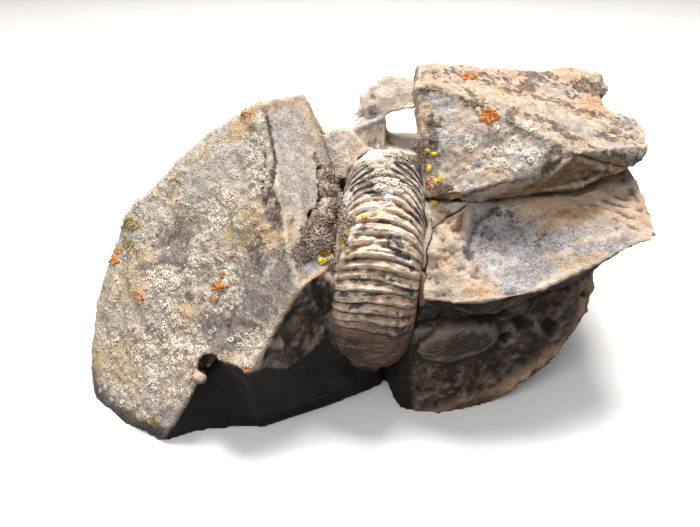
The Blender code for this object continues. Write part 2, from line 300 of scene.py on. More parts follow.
class Stone:
    """A rock's points with the ways to find a place on it."""

    def __init__(self, points, normals):
        self.points, self.normals = points, normals
        self.facing = ease(np.sum(normals * unit(EYE - points), axis=1), 0.02, 0.2)
        wobble = np.stack([layered_noise(points, 8.0, 4, 40 + axis) for axis in range(2)], axis=1)
        self.seen = in_picture(points)
        self.ragged = self.seen + 9.0 * wobble

    def patch(self, place, reach, turn=0.0, soft=0.75, ragged=True):
        """1 in an ellipse round a place, with reach (half width, half height), turned in degrees."""
        away = (self.ragged if ragged else self.seen) - np.array(place)
        cos, sin = math.cos(math.radians(turn)), math.sin(math.radians(turn))
        along = (away[:, 0] * cos + away[:, 1] * sin) / reach[0]
        across = (away[:, 1] * cos - away[:, 0] * sin) / reach[1]
        return (1.0 - ease(np.hypot(along, across), 1.0 - soft, 1.0 + soft)) * self.facing

    def patches(self, *several, **looks):
        """The strongest of several patches, each (column, row, half width, half height, turn)."""
        total = np.zeros(len(self.points))
        for column, row, wide, high, turn in several:
            total = np.maximum(total, self.patch((column, row), (wide, high), turn, **looks))
        return total

    def distance(self, place, stretch=1.0):
        """Pixels from a place, where a pixel down counts for stretch pixels."""
        column, row = place
        return np.hypot(self.seen[:, 0] - column, stretch * (self.seen[:, 1] - row))

    def below(self, line):
        """Pixels below a line from left to right through places."""
        return self.seen[:, 1] - np.interp(self.seen[:, 0], *np.transpose(line))

    def away_from(self, line):
        """Pixels to the nearest stretch of a line through places, and the side: 1 left, -1 right."""
        best = np.full(len(self.points), 1e9)
        side = np.ones(len(self.points))
        for start, end in zip(line, line[1:]):
            start, run = np.array(start, float), np.array(end, float) - np.array(start, float)
            offset = self.seen - start
            share = np.clip(offset @ run / (run @ run), 0.0, 1.0)
            gap = np.linalg.norm(offset - share[:, None] * run, axis=1)
            nearer = gap < best
            right = np.sign(run[0] * offset[:, 1] - run[1] * offset[:, 0])
            best = np.where(nearer, gap, best)
            side = np.where(nearer, -right, side)
        return best, side

    def groove(self, line, width):
        """A soft valley along a line: 1 on it, gone a width away, in mm."""
        gap, _ = self.away_from(line)
        return np.exp(-((gap * MM_PER_PIXEL / width) ** 2)) * self.facing

    def step(self, line, reach):
        """A break along a line: 1 just to its left, fading over reach in mm, 0 to its right."""
        gap, side = self.away_from(line)
        gap = gap * MM_PER_PIXEL
        rise = ease(side * gap, -0.25, 0.45)
        return rise * np.exp(-gap / reach) * self.facing

    def turned_to(self, direction, start, end):
        """1 where the surface faces a direction: by the cosine between them."""
        direction = np.array(direction) / np.linalg.norm(direction)
        return ease(self.normals @ direction, start, end)


print("a pixel on the near slab is", MM_PER_PIXEL, "mm wide")

# %% [markdown]
# ## A finer skin for each rock
#
# The solids have facets of several millimetres, while real stone is rough down to its grains. A
# copy is rebuilt as an even grid of small squares, which rounds the edges as weathering does, and
# its points then move along their normals. Sculpting by hand would give the same kind of surface.
# Numbers give it again on every run.


# %% Fine copies of the solids
HOLLOW_ROUNDS, NORMAL_ROUNDS = 5, 2  # how far round a point its neighbours count, in faces


def fine_copy(node, voxel):
    """Points and four-sided faces of a node's solid, rebuilt on a voxel grid of that size in mm."""
    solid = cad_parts[node]
    mesh = solid.data.copy()
    copy = bpy.data.objects.new(f"{node}_copy", mesh)
    bpy.context.scene.collection.objects.link(copy)
    weld = copy.modifiers.new("weld", "WELD")
    weld.merge_threshold = 0.000001
    grid = copy.modifiers.new("grid", "REMESH")
    grid.mode, grid.voxel_size = "VOXEL", voxel * MM
    done = bpy.data.meshes.new_from_object(
        copy.evaluated_get(bpy.context.evaluated_depsgraph_get())
    )
    bpy.data.objects.remove(copy)
    points = np.empty(len(done.vertices) * 3, np.float32)
    done.vertices.foreach_get("co", points)
    faces = np.empty(len(done.loops), np.int32)
    done.loops.foreach_get("vertex_index", faces)
    bpy.data.meshes.remove(done)
    return points.reshape(-1, 3).astype(float) / MM, faces.reshape(-1, 4)


def point_normals(points, faces):
    """The sum of the faces' normals round each point: the cross product of each face's diagonals."""
    across = points[faces[:, 2]] - points[faces[:, 0]]
    along = points[faces[:, 3]] - points[faces[:, 1]]
    face_normals = np.cross(across, along)
    total = np.zeros_like(points)
    for corner in range(4):
        for axis in range(3):
            total[:, axis] += np.bincount(
                faces[:, corner], face_normals[:, axis], minlength=len(points)
            )
    return unit(total)


def relax(values, faces, rounds):
    """Each round, every point's value becomes the mean of its faces' means."""
    count = np.bincount(faces.ravel(), minlength=len(values))
    for _ in range(rounds):
        means = values[faces].mean(axis=1)
        values = np.stack([
            sum(np.bincount(faces[:, corner], means[:, axis], minlength=len(values))
                for corner in range(4)) / count
            for axis in range(values.shape[1])
        ], axis=1)
    return values


def hollowness(points, normals, faces):
    """How far each point lies below the mean of those round it, in mm: over 0 in a hollow."""
    return np.sum((relax(points, faces, HOLLOW_ROUNDS) - points) * normals, axis=1)


def smoothed_stone(points, faces):
    """A Stone whose normals are averaged with those round them, so that marks have even edges."""
    return Stone(points, relax(point_normals(points, faces), faces, NORMAL_ROUNDS))


ROCK_VOXEL, BLOCK_VOXEL, MOSS_VOXEL = 0.62, 0.42, 0.42
rock_points, rock_faces = fine_copy("matrix_rock", ROCK_VOXEL)
block_points, block_faces = fine_copy("upper_block", BLOCK_VOXEL)
print("rock:", len(rock_faces) * 2, "triangles, block:", len(block_faces) * 2)

# %% [markdown]
# ## The ammonite
#
# The shell is a tube rolled up in a flat spiral: its outer edge lies at a radius that grows by
# the same factor with each turn. It could be a circle swept along a spiral curve, but a surface
# of two parameters gives every point an angle round the coil and a place across the whorl, and
# ribs, growth lines and flakes are simple sums of those two.

# %% The coil as a surface
COIL_CENTRE = np.array((3.6, -9.2, 24.2))
COIL_YAW, COIL_LEAN = math.radians(-5.8), math.radians(3.2)
FRONT_RADIUS, GROWTH = 22.0, 1.5
HALF_WIDTH, SHOULDER = 8.3, 0.36
FLANK_POWER, CREST_POWER = 0.9, 0.8
SHOWN_FROM, SHOWN_TO, SHOWN_FADE = -105.0, 150.0, 8.0
HALF_RIBS = 91
RIB_PITCH = 2.0 * (SHOWN_TO - SHOWN_FROM) / HALF_RIBS
RIB_FORWARD = 2.0


def outer_radius(angle):
    """FRONT_RADIUS times GROWTH to the power of the turns, easing back over the buried part."""
    grown = FRONT_RADIUS * GROWTH ** (np.minimum(angle, SHOWN_TO) / 360.0)
    small = FRONT_RADIUS * GROWTH ** (SHOWN_FROM / 360.0)
    back = ease(angle, SHOWN_TO, SHOWN_FROM + 360.0)
    return grown + (small - grown) * back


def turned(first, second, angle):
    """Two coordinates turned by an angle, from the first towards the second."""
    cos, sin = math.cos(angle), math.sin(angle)
    return first * cos - second * sin, first * sin + second * cos


def coil_point(angle, side, share, wide, lift):
    """Out along the radius by share of it plus lift, and sideways by wide, then turned in place.

    The bow carries the middle of the outer edge forward along the coil.
    """
    radius = outer_radius(angle)
    round_coil = np.radians(angle) + RIB_FORWARD * (1.0 - side**2) / radius
    reach = share * radius + lift
    x = wide * HALF_WIDTH
    y, z = -np.cos(round_coil) * reach, np.sin(round_coil) * reach
    z, x = turned(z, x, COIL_LEAN)
    x, y = turned(x, y, COIL_YAW)
    return COIL_CENTRE + np.stack([x, y, z], axis=-1)


def whorl_profile(steps):
    """Across the whorl: an arch from side to side, with two points of each flank before and after."""
    tilt = np.linspace(-0.5, 0.5, steps) * math.pi
    side = np.sin(tilt)
    share = 1.0 - SHOULDER * (1.0 - np.cos(tilt) ** CREST_POWER)
    wide = np.sign(side) * np.abs(side) ** FLANK_POWER
    side = np.concatenate([[-1, -1], side, [1, 1]])
    share = np.concatenate([[0.42, 0.56], share, [0.56, 0.42]])
    wide = np.concatenate([[-0.40, -0.78], wide, [0.78, 0.40]])
    return side, share, wide


ACROSS_STEPS, STEPS_PER_RIB, BURIED_STEPS = 80, 16, 14
side, share, wide = whorl_profile(ACROSS_STEPS)
angles = np.concatenate([
    np.arange(SHOWN_FROM, SHOWN_TO, RIB_PITCH / STEPS_PER_RIB),
    np.linspace(SHOWN_TO, SHOWN_FROM + 360.0, BURIED_STEPS)[:-1],
])
angle_grid, side_grid = np.meshgrid(angles, side, indexing="ij")
share_grid = np.broadcast_to(share, angle_grid.shape)
wide_grid = np.broadcast_to(wide, angle_grid.shape)
smooth_coil = coil_point(angle_grid, side_grid, share_grid, wide_grid, 0.0).reshape(-1, 3)
print("coil grid:", angle_grid.shape)

# %% [markdown]
# ## What the shell looks like where
#
# Low down the whorl is worn smooth and dark brown, partly its own colour and partly painted shade
# on its down-facing underside. The middle has its outer shell with cream ribs.
# Near the top that shell has flaked off along a ragged line, and the darker ribs under it carry
# lime, pearly scraps and pink smears. Each of these is a mask, a number from 0 to 1 at every
# point. Masks could be painted by hand, in weight paint. Worked out from the coil's own angles and
# from places in the picture, they steer both the relief and the colour, so that the two agree.

# %% Masks of the shell
flat_angle, flat_side = angle_grid.ravel(), side_grid.ravel()


def shell_noise(along, across, seed, layers=1):
    """Noise on the shell, with features that many degrees long and that share of it wide."""
    unrolled = np.stack([flat_angle / along, flat_side / across, 0 * flat_side], axis=1)
    return layered_noise(unrolled, 1.0, layers, seed)


belly = 1.0 - ease(flat_angle + 3.0 * shell_noise(9.0, 0.5, 78), -14.0, 1.0)
flake_line = 60.0 + 7.0 * flat_side + 5.0 * shell_noise(1e6, 0.4, 72)
flaked = ease(flat_angle, flake_line - 0.8, flake_line + 0.8)
outward = np.sqrt(np.maximum(0.0, 1.0 - flat_side**2))
shown = ease(flat_angle, SHOWN_FROM, SHOWN_FROM + SHOWN_FADE)
shown *= 1.0 - ease(flat_angle, SHOWN_TO - SHOWN_FADE, SHOWN_TO)
marks = Stone(smooth_coil, np.zeros_like(smooth_coil))
marks.facing = np.ones(len(smooth_coil))  # marks go right through the whorl, whose back is buried
stain = marks.patches(
    (400, 247, 9, 8, -20), (404, 258, 7, 4, 0), (357, 262, 6, 3, 0), (408, 272, 4, 5, 0),
    (388, 283, 7, 3, 10), (362, 284, 8, 3, 0), (402, 296, 9, 4, 15), (372, 300, 9, 2, 5),
    (356, 312, 7, 3, 0), (396, 318, 10, 4, 10), (352, 338, 8, 4, 0), (347, 350, 9, 4, 10),
    (400, 336, 14, 8, -24), (385, 226, 8, 3, 0), (360, 232, 10, 2, 0), (420, 215, 6, 8, 0),
    (352, 206, 5, 3, 0), (345, 300, 6, 2, 0),
)
lime = marks.patches(
    (380, 176, 12, 20, 0), (350, 202, 14, 5, -10), (398, 200, 22, 7, 5), (392, 185, 24, 5, 10),
    (428, 196, 4, 16, 0), (372, 160, 26, 5, -5), (384, 214, 26, 3, 5),
)
pink = marks.patches(
    (352, 210, 20, 5, -16), (380, 203, 12, 4, 0), (346, 222, 14, 5, -20), (352, 245, 12, 4, 0),
)
pearl = marks.patches(
    (366, 153, 24, 7, -10), (414, 150, 17, 7, 25), (388, 197, 7, 6, 0), (341, 192, 2, 8, 10),
    (370, 208, 14, 3, -12), (352, 230, 9, 2, -8), (418, 230, 4, 3, 0), (402, 262, 7, 2, 0),
)
crusty = marks.patches((341, 246, 8, 30, 4), (332, 285, 4, 16, 8), (430, 180, 4, 20, 0), soft=0.5)
growth_lines = shell_noise(1.1, 0.9, 75, 2)
chips = ease(layered_noise(smooth_coil, 3.4, 4, 77), 0.42, 0.58) * (1.0 - 0.6 * belly)
worn = ease(flat_angle, 20.0, 45.0) * (1.0 - flaked)
low = 1.0 - ease(flat_angle, -8.0, 34.0)
print("flaked over", round(float(flaked.mean()) * 100), "% of the coil")

# %% [markdown]
# ## Ribs
#
# A rib rises steeply on one side and falls off gently on the other. One modelled rib could be
# repeated by an Array modifier, but real ones bow, run a little out of step and differ in
# strength. So they are a wave along the coil, with noise added to the place in the wave and to its
# depth. The grooves are cut into the outer surface. Flakes and chips lower it, crust and lime
# raise it.

# %% Relief of the shell
strength = 1.0 + 0.55 * shell_noise(6.0, 0.5, 74)
bow = 7.0 * flat_side**2 * ease(flat_angle, 46.0, 66.0)
phase = (flat_angle + bow - SHOWN_FROM) / RIB_PITCH + 0.21 * shell_noise(7.0, 0.55, 71)
part = phase % 1.0
wave = ease(part, 0.0, 0.30) * (1.0 - 0.85 * ease(part, 0.45, 1.1))
rib_depth = 0.92 + 0.30 * low - 1.02 * belly - 0.20 * flaked - 0.20 * worn
rib_depth = rib_depth * strength * np.sqrt(outward)
lift = -rib_depth * (1.0 - wave)
lift -= 0.34 * flaked + 0.18 * chips * (1.0 - flaked)
lift += 0.30 * lime * flaked * (0.6 + layered_noise(smooth_coil, 1.1, 2, 79))
lift += (0.14 * growth_lines + 0.22 * layered_noise(smooth_coil, 1.5, 4, 73)) * (0.4 + outward)
lift += 0.30 * layered_noise(smooth_coil, 6.0, 2, 76)
lift += crusty * (0.45 * layered_noise(smooth_coil, 1.3, 3, 80) + 0.3 - 0.7 * lift)
lift = (lift * shown).reshape(angle_grid.shape)
print("the shell's relief goes from", lift.min().round(2), "to", lift.max().round(2), "mm")

# %% [markdown]
# ## Closing the coil
#
# The grid meets itself round the coil. Its two long edges are closed by fans of triangles to a
# point on the axis each side, so that the piece is a closed body, as the solid is. The fill tool
# of edit mode would close them too, but the faces of a fan are known beforehand. How hollow the
# relief is at each point is kept as well: the colour paints shade into the hollows and a highlight
# onto the ridges.


# %% Faces of the shell
def halved(quads):
    """Each four-sided face as two triangles."""
    return np.concatenate([quads[:, [0, 1, 2]], quads[:, [0, 2, 3]]])


HUB_HALF_WIDTH = 0.38
hubs = [
    coil_point(np.array(0.0), np.array(way), np.array(0.0), np.array(way * HUB_HALF_WIDTH), 0.0)
    for way in (-1.0, 1.0)
]
shell_points = coil_point(angle_grid, side_grid, share_grid, wide_grid, lift)
shell_points = np.concatenate([shell_points.reshape(-1, 3), hubs])
rows, across = angle_grid.shape
start = np.arange(rows) * across
following = (np.arange(rows) + 1) % rows * across
here = start[:, None] + np.arange(across - 1)
after = following[:, None] + np.arange(across - 1)
left_hub = np.stack([np.full(rows, rows * across), start, following], axis=1)
right_hub = np.stack(
    [np.full(rows, rows * across + 1), following + across - 1, start + across - 1], axis=1
)
shell_tris = np.concatenate([
    halved(np.stack([here, here + 1, after + 1, after], axis=-1).reshape(-1, 4)),
    left_hub, right_hub,
])


def hollow_on_grid(heights, reach):
    """How far each grid point lies below the mean of four points that many steps away."""
    along = np.roll(heights, reach, 0) + np.roll(heights, -reach, 0)
    aside = np.roll(heights, reach, 1) + np.roll(heights, -reach, 1)
    return ((along + aside) / 4.0 - heights).ravel()


shell_hollow = hollow_on_grid(lift, 3)
print("shell:", len(shell_tris), "triangles")

# %% [markdown]
# ## Room round the shell
#
# The shell isn't stuck on the rock: it lies bedded in it, with crumbs up to its flanks. So the
# rock has to know how far each of its points is from the shell. A search through the mesh could
# tell, but the coil is a formula, and running it backwards gives the distance at once.


# %% How far a point is from the shell
def room_round_shell(points):
    """The coil's formula run backwards: turn the point back, find its angle and its place across
    the whorl, and take the outer surface there from its radius. Past the sides, it is the way to
    the edge of the flank."""
    x, y, z = (points - COIL_CENTRE).T
    x, y = turned(x, y, -COIL_YAW)
    z, x = turned(z, x, -COIL_LEAN)
    place = np.clip(np.abs(x) / HALF_WIDTH, 0.0, 1.0) ** (1 / FLANK_POWER)
    angle = np.degrees(np.arctan2(z, -y))
    angle = np.where(angle < SHOWN_FROM, angle + 360.0, angle)
    radius = outer_radius(angle)
    edge = radius * (1.0 - SHOULDER * (1.0 - (1.0 - place**2) ** (CREST_POWER / 2)))
    beyond = np.hypot(y, z) - edge
    aside = np.maximum(np.abs(x) - HALF_WIDTH, 0.0)
    return np.where(aside > 0.0, np.hypot(aside, np.maximum(beyond, 0.0)), beyond)


print("the shell's own points are", np.abs(room_round_shell(smooth_coil)).mean().round(2), "mm off")

# %% [markdown]
# ## The big rock
#
# The left slab is weathered and crusted, the strip beside it broke off lately and is smooth, and
# the ledge on the right carries the print of another shell. Each could get a material of its own,
# face by face, but the borders would be as jagged as the grid. So each is a mask again. The large
# ones follow from which way the surface faces, and from lines in the picture.

# %% The rock's faces
rock = smoothed_stone(rock_points, rock_faces)
rock_right = ease(rock.seen[:, 0], 405.0, 425.0)

SLAB_FACING, STRIP_FACING, UNDER_FACING = (-0.58, -0.61, 0.55), (0.64, -0.38, 0.67), (0, 0, -1)
slab_side = rock.turned_to(SLAB_FACING, 0.5, 0.75) * (1.0 - rock_right)
strip_side = rock.turned_to(STRIP_FACING, 0.72, 0.9) * (1.0 - rock_right)
strip_side *= ease(rock.seen[:, 0], 248.0, 266.0)
under = rock.turned_to(UNDER_FACING, 0.0, 0.4)
rear_rim = ease(rock_points[:, 1], 12.0, 16.0) * ease(rock_points[:, 0], -17.0, -11.0)
slab_side *= 1.0 - rear_rim
SLAB_EDGE = [
    (150, 450), (162, 443), (190, 397), (200, 380), (215, 358), (235, 362), (250, 372), (265, 367),
    (283, 368), (300, 357), (327, 334), (336, 348), (350, 364), (372, 369), (392, 361), (405, 343),
    (412, 316),
]
# the foot, below the slab's lower edge, gets painted shade and near-black painted shadow
foot = ease(rock.below(SLAB_EDGE), 0.0, 4.0) * rock.facing
foot *= 1.0 - ease(rock.seen[:, 0], 410.0, 416.0)
# painted shade: the stone turns darker towards the ground, all round it
painted_shade_near_ground = 1.0 - ease(rock_points[:, 2] + 2.0 * smooth_noise(rock_points, 9.0, 61), 0.5, 7.0)
FACET_EDGE = [(332, 263), (299, 288), (285, 312), (270, 340), (258, 368)]
edge_gap, edge_side = rock.away_from(FACET_EDGE)
facet = rock.patches((304, 310, 32, 44, 25), (284, 348, 32, 30, 30), (322, 318, 16, 34, 0), soft=0.4)
facet *= ease(edge_gap * edge_side, -0.5, 2.0) * (1.0 - slab_side)
LEDGE_EDGE = [
    (405, 300), (418, 302), (455, 306), (500, 302), (540, 291), (585, 271), (620, 254), (658, 240),
    (680, 232),
]
lower_mass = ease(rock.below(LEDGE_EDGE), 0.0, 4.0) * rock.facing
lower_mass *= ease(rock.seen[:, 0], 399.0, 405.0)
MASS_RIM = [(590, 268), (587, 300), (575, 330), (555, 355), (530, 377), (500, 397), (450, 412)]
rim_gap, _ = rock.away_from(MASS_RIM)
mass_rim = 1.0 - ease(rim_gap + 5.0 * smooth_noise(rock_points, 6.0, 62), 4.0, 20.0)
mass_rim *= lower_mass
print("the crusted slab is", round(float(slab_side.mean()) * 100), "% of the rock")

# %% [markdown]
# ## Colours that come in patches
#
# Within those faces the stone changes colour from place to place: skin without lichen, fresh
# breaks, blue-grey cores, dark stains, lime and rust. Painting them on a texture would tie them to
# an image. As patches they stay numbers, and noise frays their edges.

# %% Patches of the rock
LARGE_BARE = [(178, 245, 15, 30, 28), (262, 282, 34, 38, 20), (225, 325, 26, 16, -30)]
rock_bare = rock.patches(
    *LARGE_BARE, (277, 215, 14, 12, 0),
    (205, 123, 7, 4, -20), (150, 330, 8, 6, 0), (190, 300, 9, 5, 0), (268, 150, 4, 28, 0),
)
rock_fresh = np.maximum(
    strip_side * rock.patches((297, 160, 19, 60, -10), (306, 222, 12, 26, 10)),
    rock.patch((335, 146), (18, 16)),
)
rock_blue = rock.patches(
    (505, 245, 38, 34, 10), (530, 280, 34, 14, -25), (560, 240, 26, 14, -20), (600, 248, 26, 7, -20),
    (303, 255, 13, 20, 0), (278, 352, 14, 10, 0), (370, 124, 20, 9, 10), (229, 133, 9, 6, 0),
    (272, 230, 6, 50, -5), (274, 160, 6, 46, -5),
)
SCAR = [(262, 205), (270, 186), (275, 162), (271, 138), (265, 112)]
# the dark patches at the two pits and under the left end of the ledge are painted shade; the others are
# dark stains
rock_dark = np.maximum.reduce([
    rock.patches(
        (316, 298, 12, 24, 20), (520, 327, 6, 10, -15), (541, 334, 8, 9, 0), (318, 160, 5, 12, 0),
        (422, 312, 6, 9, 0), (300, 250, 10, 16, 0), (276, 212, 8, 12, -4), (470, 262, 3, 6, -20),
        (266, 124, 4, 14, 0), (272, 160, 3, 16, 0), (268, 190, 3, 14, 20),
    ),
    0.9 * rock.groove(SCAR, 0.8),
    0.55 * rock.patches(
        (262, 252, 16, 34, 15), (225, 320, 18, 10, -30), (182, 240, 9, 18, 28), (212, 300, 10, 6, 0),
        (130, 250, 10, 8, 0), (508, 218, 26, 12, 10), (490, 240, 14, 16, 30), (540, 240, 20, 10, -20),
    ),
])
rock_lime = rock.patches(
    (238, 258, 3, 12, 0), (229, 133, 9, 6, 0), (502, 262, 22, 12, 10), (232, 300, 5, 4, 0),
    (265, 268, 8, 22, 25), (600, 236, 20, 6, -20), (250, 350, 8, 14, 20),
)
rock_rust = np.maximum.reduce([
    rock.groove(FACET_EDGE, 0.5),
    rock.groove([(420, 299), (455, 305), (485, 303), (500, 300)], 0.5),
    rock.patches(
        (442, 215, 10, 8, -25), (440, 262, 10, 8, 0), (572, 210, 30, 6, -10), (330, 285, 8, 5, 0),
        (545, 228, 18, 6, -15), (522, 264, 10, 4, 0), (482, 290, 22, 5, 0), (455, 228, 7, 14, 20),
        (610, 218, 14, 4, 10),
    ),
    0.8 * rock.patches((286, 106, 20, 9, 0), (304, 125, 6, 20, -20), (314, 278, 16, 9, 0)),
    0.7 * slab_side * rock.patches(
        (112, 262, 8, 24, 0), (105, 400, 12, 14, 0), (250, 125, 14, 8, -30), (130, 232, 14, 8, -40),
        (235, 240, 6, 30, 0), (180, 345, 12, 20, 20),
    ),
])
print("bare stone on", round(float(rock_bare.mean()) * 100, 1), "% of the rock")

# %% [markdown]
# ## The rock's roughness
#
# The relief is a sum of movements along the normals. Broad swellings come first, then the flat
# steps of broken stone, thin beds on the right, lumps and grains where the lichen is, and almost
# nothing on a fresh break. Edges that the grid has rounded are pushed out again. A stack of
# Displace modifiers could do much of this, but in a sum of arrays any mask can weigh any part.

# %% Roughness of the rock
crusted = slab_side * (1.0 - rock_bare)
grains = ease(inside_grain(rock_points, 2.3, 11), 0.0, 0.45)
TERRACES_PER_UNIT, CHIPS_PER_UNIT = 2.4, 2.6
terraces = in_steps(TERRACES_PER_UNIT * layered_noise(rock_points, 6.0, 3, 21), 0.6)
calm = np.clip(rock_fresh + 0.25 * rock_blue * rock_right, 0.0, 1.0)
sharpen = -hollowness(rock_points, rock.normals, rock_faces)

move = 0.55 * layered_noise(rock_points, 13.0, 2, 31) * (1.0 - 0.5 * calm)
move += 0.42 * terraces / TERRACES_PER_UNIT * (1.0 - calm) * (1.0 - 0.7 * crusted)
chipped = in_steps(CHIPS_PER_UNIT * layered_noise(rock_points, 3.0, 3, 23), 0.55)
crumbling = rock.patches((445, 255, 30, 50, 10), (330, 280, 14, 16, 0), (440, 215, 30, 12, -20))
rough = np.maximum.reduce([2.2 * facet, 1.8 * lower_mass, 2.2 * crumbling, 0.6 * (1.0 - calm)])
move += 0.16 * chipped * rough * (1.0 - 0.6 * crusted)
BED_STRETCH = (0.16, 0.5, 1.0)
beds = layered_noise(rock_points * BED_STRETCH, 1.3, 3, 25)
move += 0.16 * beds * rock_right * (1.0 - rock_blue)
move += (0.16 + 0.10 * crusted) * layered_noise(rock_points, 2.6, 3, 51) * (1.0 - 0.75 * calm)
move += 0.18 * grains * crusted
move += 1.1 * np.clip(sharpen, 0.0, 0.5)
clumps = ease(layered_noise(rock_points, 3.6, 3, 27), -0.15, 0.15)
move += 0.26 * clumps * crusted
print("roughness from", move.min().round(2), "to", move.max().round(2), "mm")

# %% [markdown]
# ## Single features of the slab
#
# A scar runs beside the ridge, the fresh strip ends in a low edge, and the slab steps down twice
# across its face. Its lower edge has a deep little hollow with a knob beside it. A sculptor would
# carve them with a brush. Here each one is a step, a groove or a patch added to the same sum, so
# its place and its depth are numbers that can be changed later.

# %% Scar, steps and hollow
move += 1.0 * rock.step(SCAR, 3.0) - 0.8 * rock.groove(SCAR, 0.6)
STRIP_EDGE = [(282, 112), (291, 160), (296, 210), (299, 262)]
move += 0.35 * rock.step(STRIP_EDGE, 4.0)
TERRACE = [(228, 335), (236, 300), (250, 262), (258, 225), (262, 205)]
move -= 0.5 * rock.step(TERRACE, 5.0)
SHOULDER_EDGE = [(120, 300), (138, 268), (165, 262), (196, 268), (224, 262)]
move += 0.55 * rock.step(SHOULDER_EDGE, 4.0)
move -= 3.2 * rock.patch((208, 366), (8, 7), soft=0.5, ragged=False)
move += 1.6 * rock.patch((201, 377), (6, 5), soft=0.6, ragged=False)
move += 1.5 * rock.patch((336, 375), (12, 9), soft=0.7, ragged=False)
move += 0.5 * rock.groove(FACET_EDGE, 0.5)
print("the hollow goes down to", move.min().round(2), "mm")

# %% [markdown]
# ## Prints and cracks of the ledge
#
# Another shell once lay on the ledge: its ribs left a faint print at the far end, and its rim a
# low curved edge in the middle. Two hair cracks start beside the ammonite. They could be cut into
# the mesh, but they are finer than its squares. So each point keeps its distance from the crack,
# and the material draws a sharp line from that.

# %% Prints and cracks
PRINT_CENTRE, PRINT_SPACING = (560, 270), 15.0
print_arc = rock.distance(PRINT_CENTRE, 1.9) + 5.0 * smooth_noise(rock_points, 9.0, 63)
rib_print = np.sin(print_arc * 2 * math.pi / PRINT_SPACING)
move += 0.24 * rib_print * rock.patch((622, 208), (32, 18), 15, soft=0.8)
PRINT_EDGE = [(545, 293), (508, 290), (482, 272), (472, 245), (480, 225), (500, 210)]
move -= 0.8 * rock.step(PRINT_EDGE, 1.8)
PRINT_ARC = [(500, 288), (478, 270), (464, 248), (466, 226), (478, 212)]
move += 0.4 * rock.groove(PRINT_ARC, 0.7)
CHIP = [(458, 248), (463, 258), (472, 268)]
move += 0.7 * rock.groove(CHIP, 0.5) - 0.8 * rock.patch((467, 256), (4, 9), -25, soft=0.5)
CRACKS = [
    [(434, 226), (441, 221), (449, 214), (457, 212), (466, 206)],
    [(432, 222), (431, 232), (430, 240), (427, 250), (427, 258), (423, 268), (422, 280),
     (418, 290), (418, 300)],
]
crack_side = np.full(len(rock_points), 1.0)
crack_near = np.zeros(len(rock_points))
for crack in CRACKS:
    gap, side = rock.away_from(crack)
    gap += 1.6 * ease(smooth_noise(rock_points, 5.0, 64), -0.2, 0.6)
    near = (1.0 - ease(gap, 4.0, 6.0)) * rock.facing
    crack_side = np.where(near > crack_near, 0.5 + 0.1 * gap * side, crack_side)
    crack_near = np.maximum(near, crack_near)
    move -= 0.35 * rock.groove(crack, 0.3)
print("cracks touch", int((crack_near > 0.5).sum()), "points")

# %% [markdown]
# ## Under the ledge
#
# Below the ledge the stone is in shadow and broken: a groove along the ledge's foot, a few pits,
# and an oval plate with growth rings that looks like one more shell. The plate could be a piece
# of its own, but it is the same stone and grows out of it all round, so it is relief too. Where
# the upper block lies on the rock, the rock draws back a little, so that the gap stays open.

# %% Plate, pits and the seat of the block
LEDGE_LINE = [(416, 324), (450, 323), (480, 321), (497, 318), (502, 314)]
move -= 1.8 * rock.groove(LEDGE_LINE, 0.7)
PLATE, PLATE_TURN = (458, 341), -14
plate = rock.patch(PLATE, (42, 17), PLATE_TURN, soft=0.12, ragged=False)
plate_rim = rock.patch(PLATE, (44, 19), PLATE_TURN, soft=0.12, ragged=False) - plate
plate_rings = np.sin(rock.distance((450, 330), 2.2) / 1.9)
move = move * (1.0 - 0.8 * plate) + (1.1 + 0.1 * plate_rings) * plate - 0.7 * plate_rim
pits = rock.patches(
    (524, 328, 5, 12, -15), (547, 331, 6, 8, 10), (590, 292, 5, 3, 0), (512, 350, 5, 4, 0), soft=0.4
)
move -= 1.7 * pits
move += 0.9 * rock.patch((536, 330), (3, 13), -10, soft=0.8)
RIM_UNDER = [(418, 306), (455, 311), (500, 307), (540, 296), (585, 277), (620, 259), (655, 246)]
move -= 1.2 * rock.groove(RIM_UNDER, 0.8)
under_block = rock.turned_to((0, 0, 1), 0.6, 0.9) * ease(rock_points[:, 0], 22.0, 50.0)
move -= 1.1 * under_block * ease(rock_points[:, 1], -15.0, -7.0) * (rock_points[:, 2] < 45.0)
print("the plate covers", int((plate > 0.5).sum()), "points, and the pits", int((pits > 0.5).sum()))

# %% [markdown]
# ## The shell's bed, and the ground
#
# Beside the shell the features give way to crumbs that reach up its flanks. A Boolean modifier
# would fit the rock to the shell exactly, and leave a seam far too clean, so the crumbs come from
# the room between the two. Near the ground all movement fades out, because the stone has to stand
# on the same flat patch as its solid.

# %% Bed and ground
room = room_round_shell(rock_points)
grip = 1.0 - ease(np.abs(room), 0.5, 1.6)
crumbs = 0.45 + 0.55 * smooth_noise(rock_points, 1.8, 81)
move = move * (1.0 - 0.8 * grip) + grip * (0.30 + 0.35 * crumbs)

off_ground = ease(rock_points[:, 2], 0.4, 3.0)
rock_done = rock_points + rock.normals * (move * off_ground)[:, None]
rock_done[:, 2] = np.maximum(rock_done[:, 2], 0.0)
print("relief from", move.min().round(2), "to", move.max().round(2), "mm")

# %% [markdown]
# ## The block above the crack
#
# The upper block broke away along the crack and still lies in place. It could be one mesh with
# the rock, but as a body of its own it leaves a crack that is open all through. It is the same
# stone, so the same helpers serve: a front with blue-grey cores and lime, a top with dark stains
# in streaks, and rust along the lip that hangs over the crack.

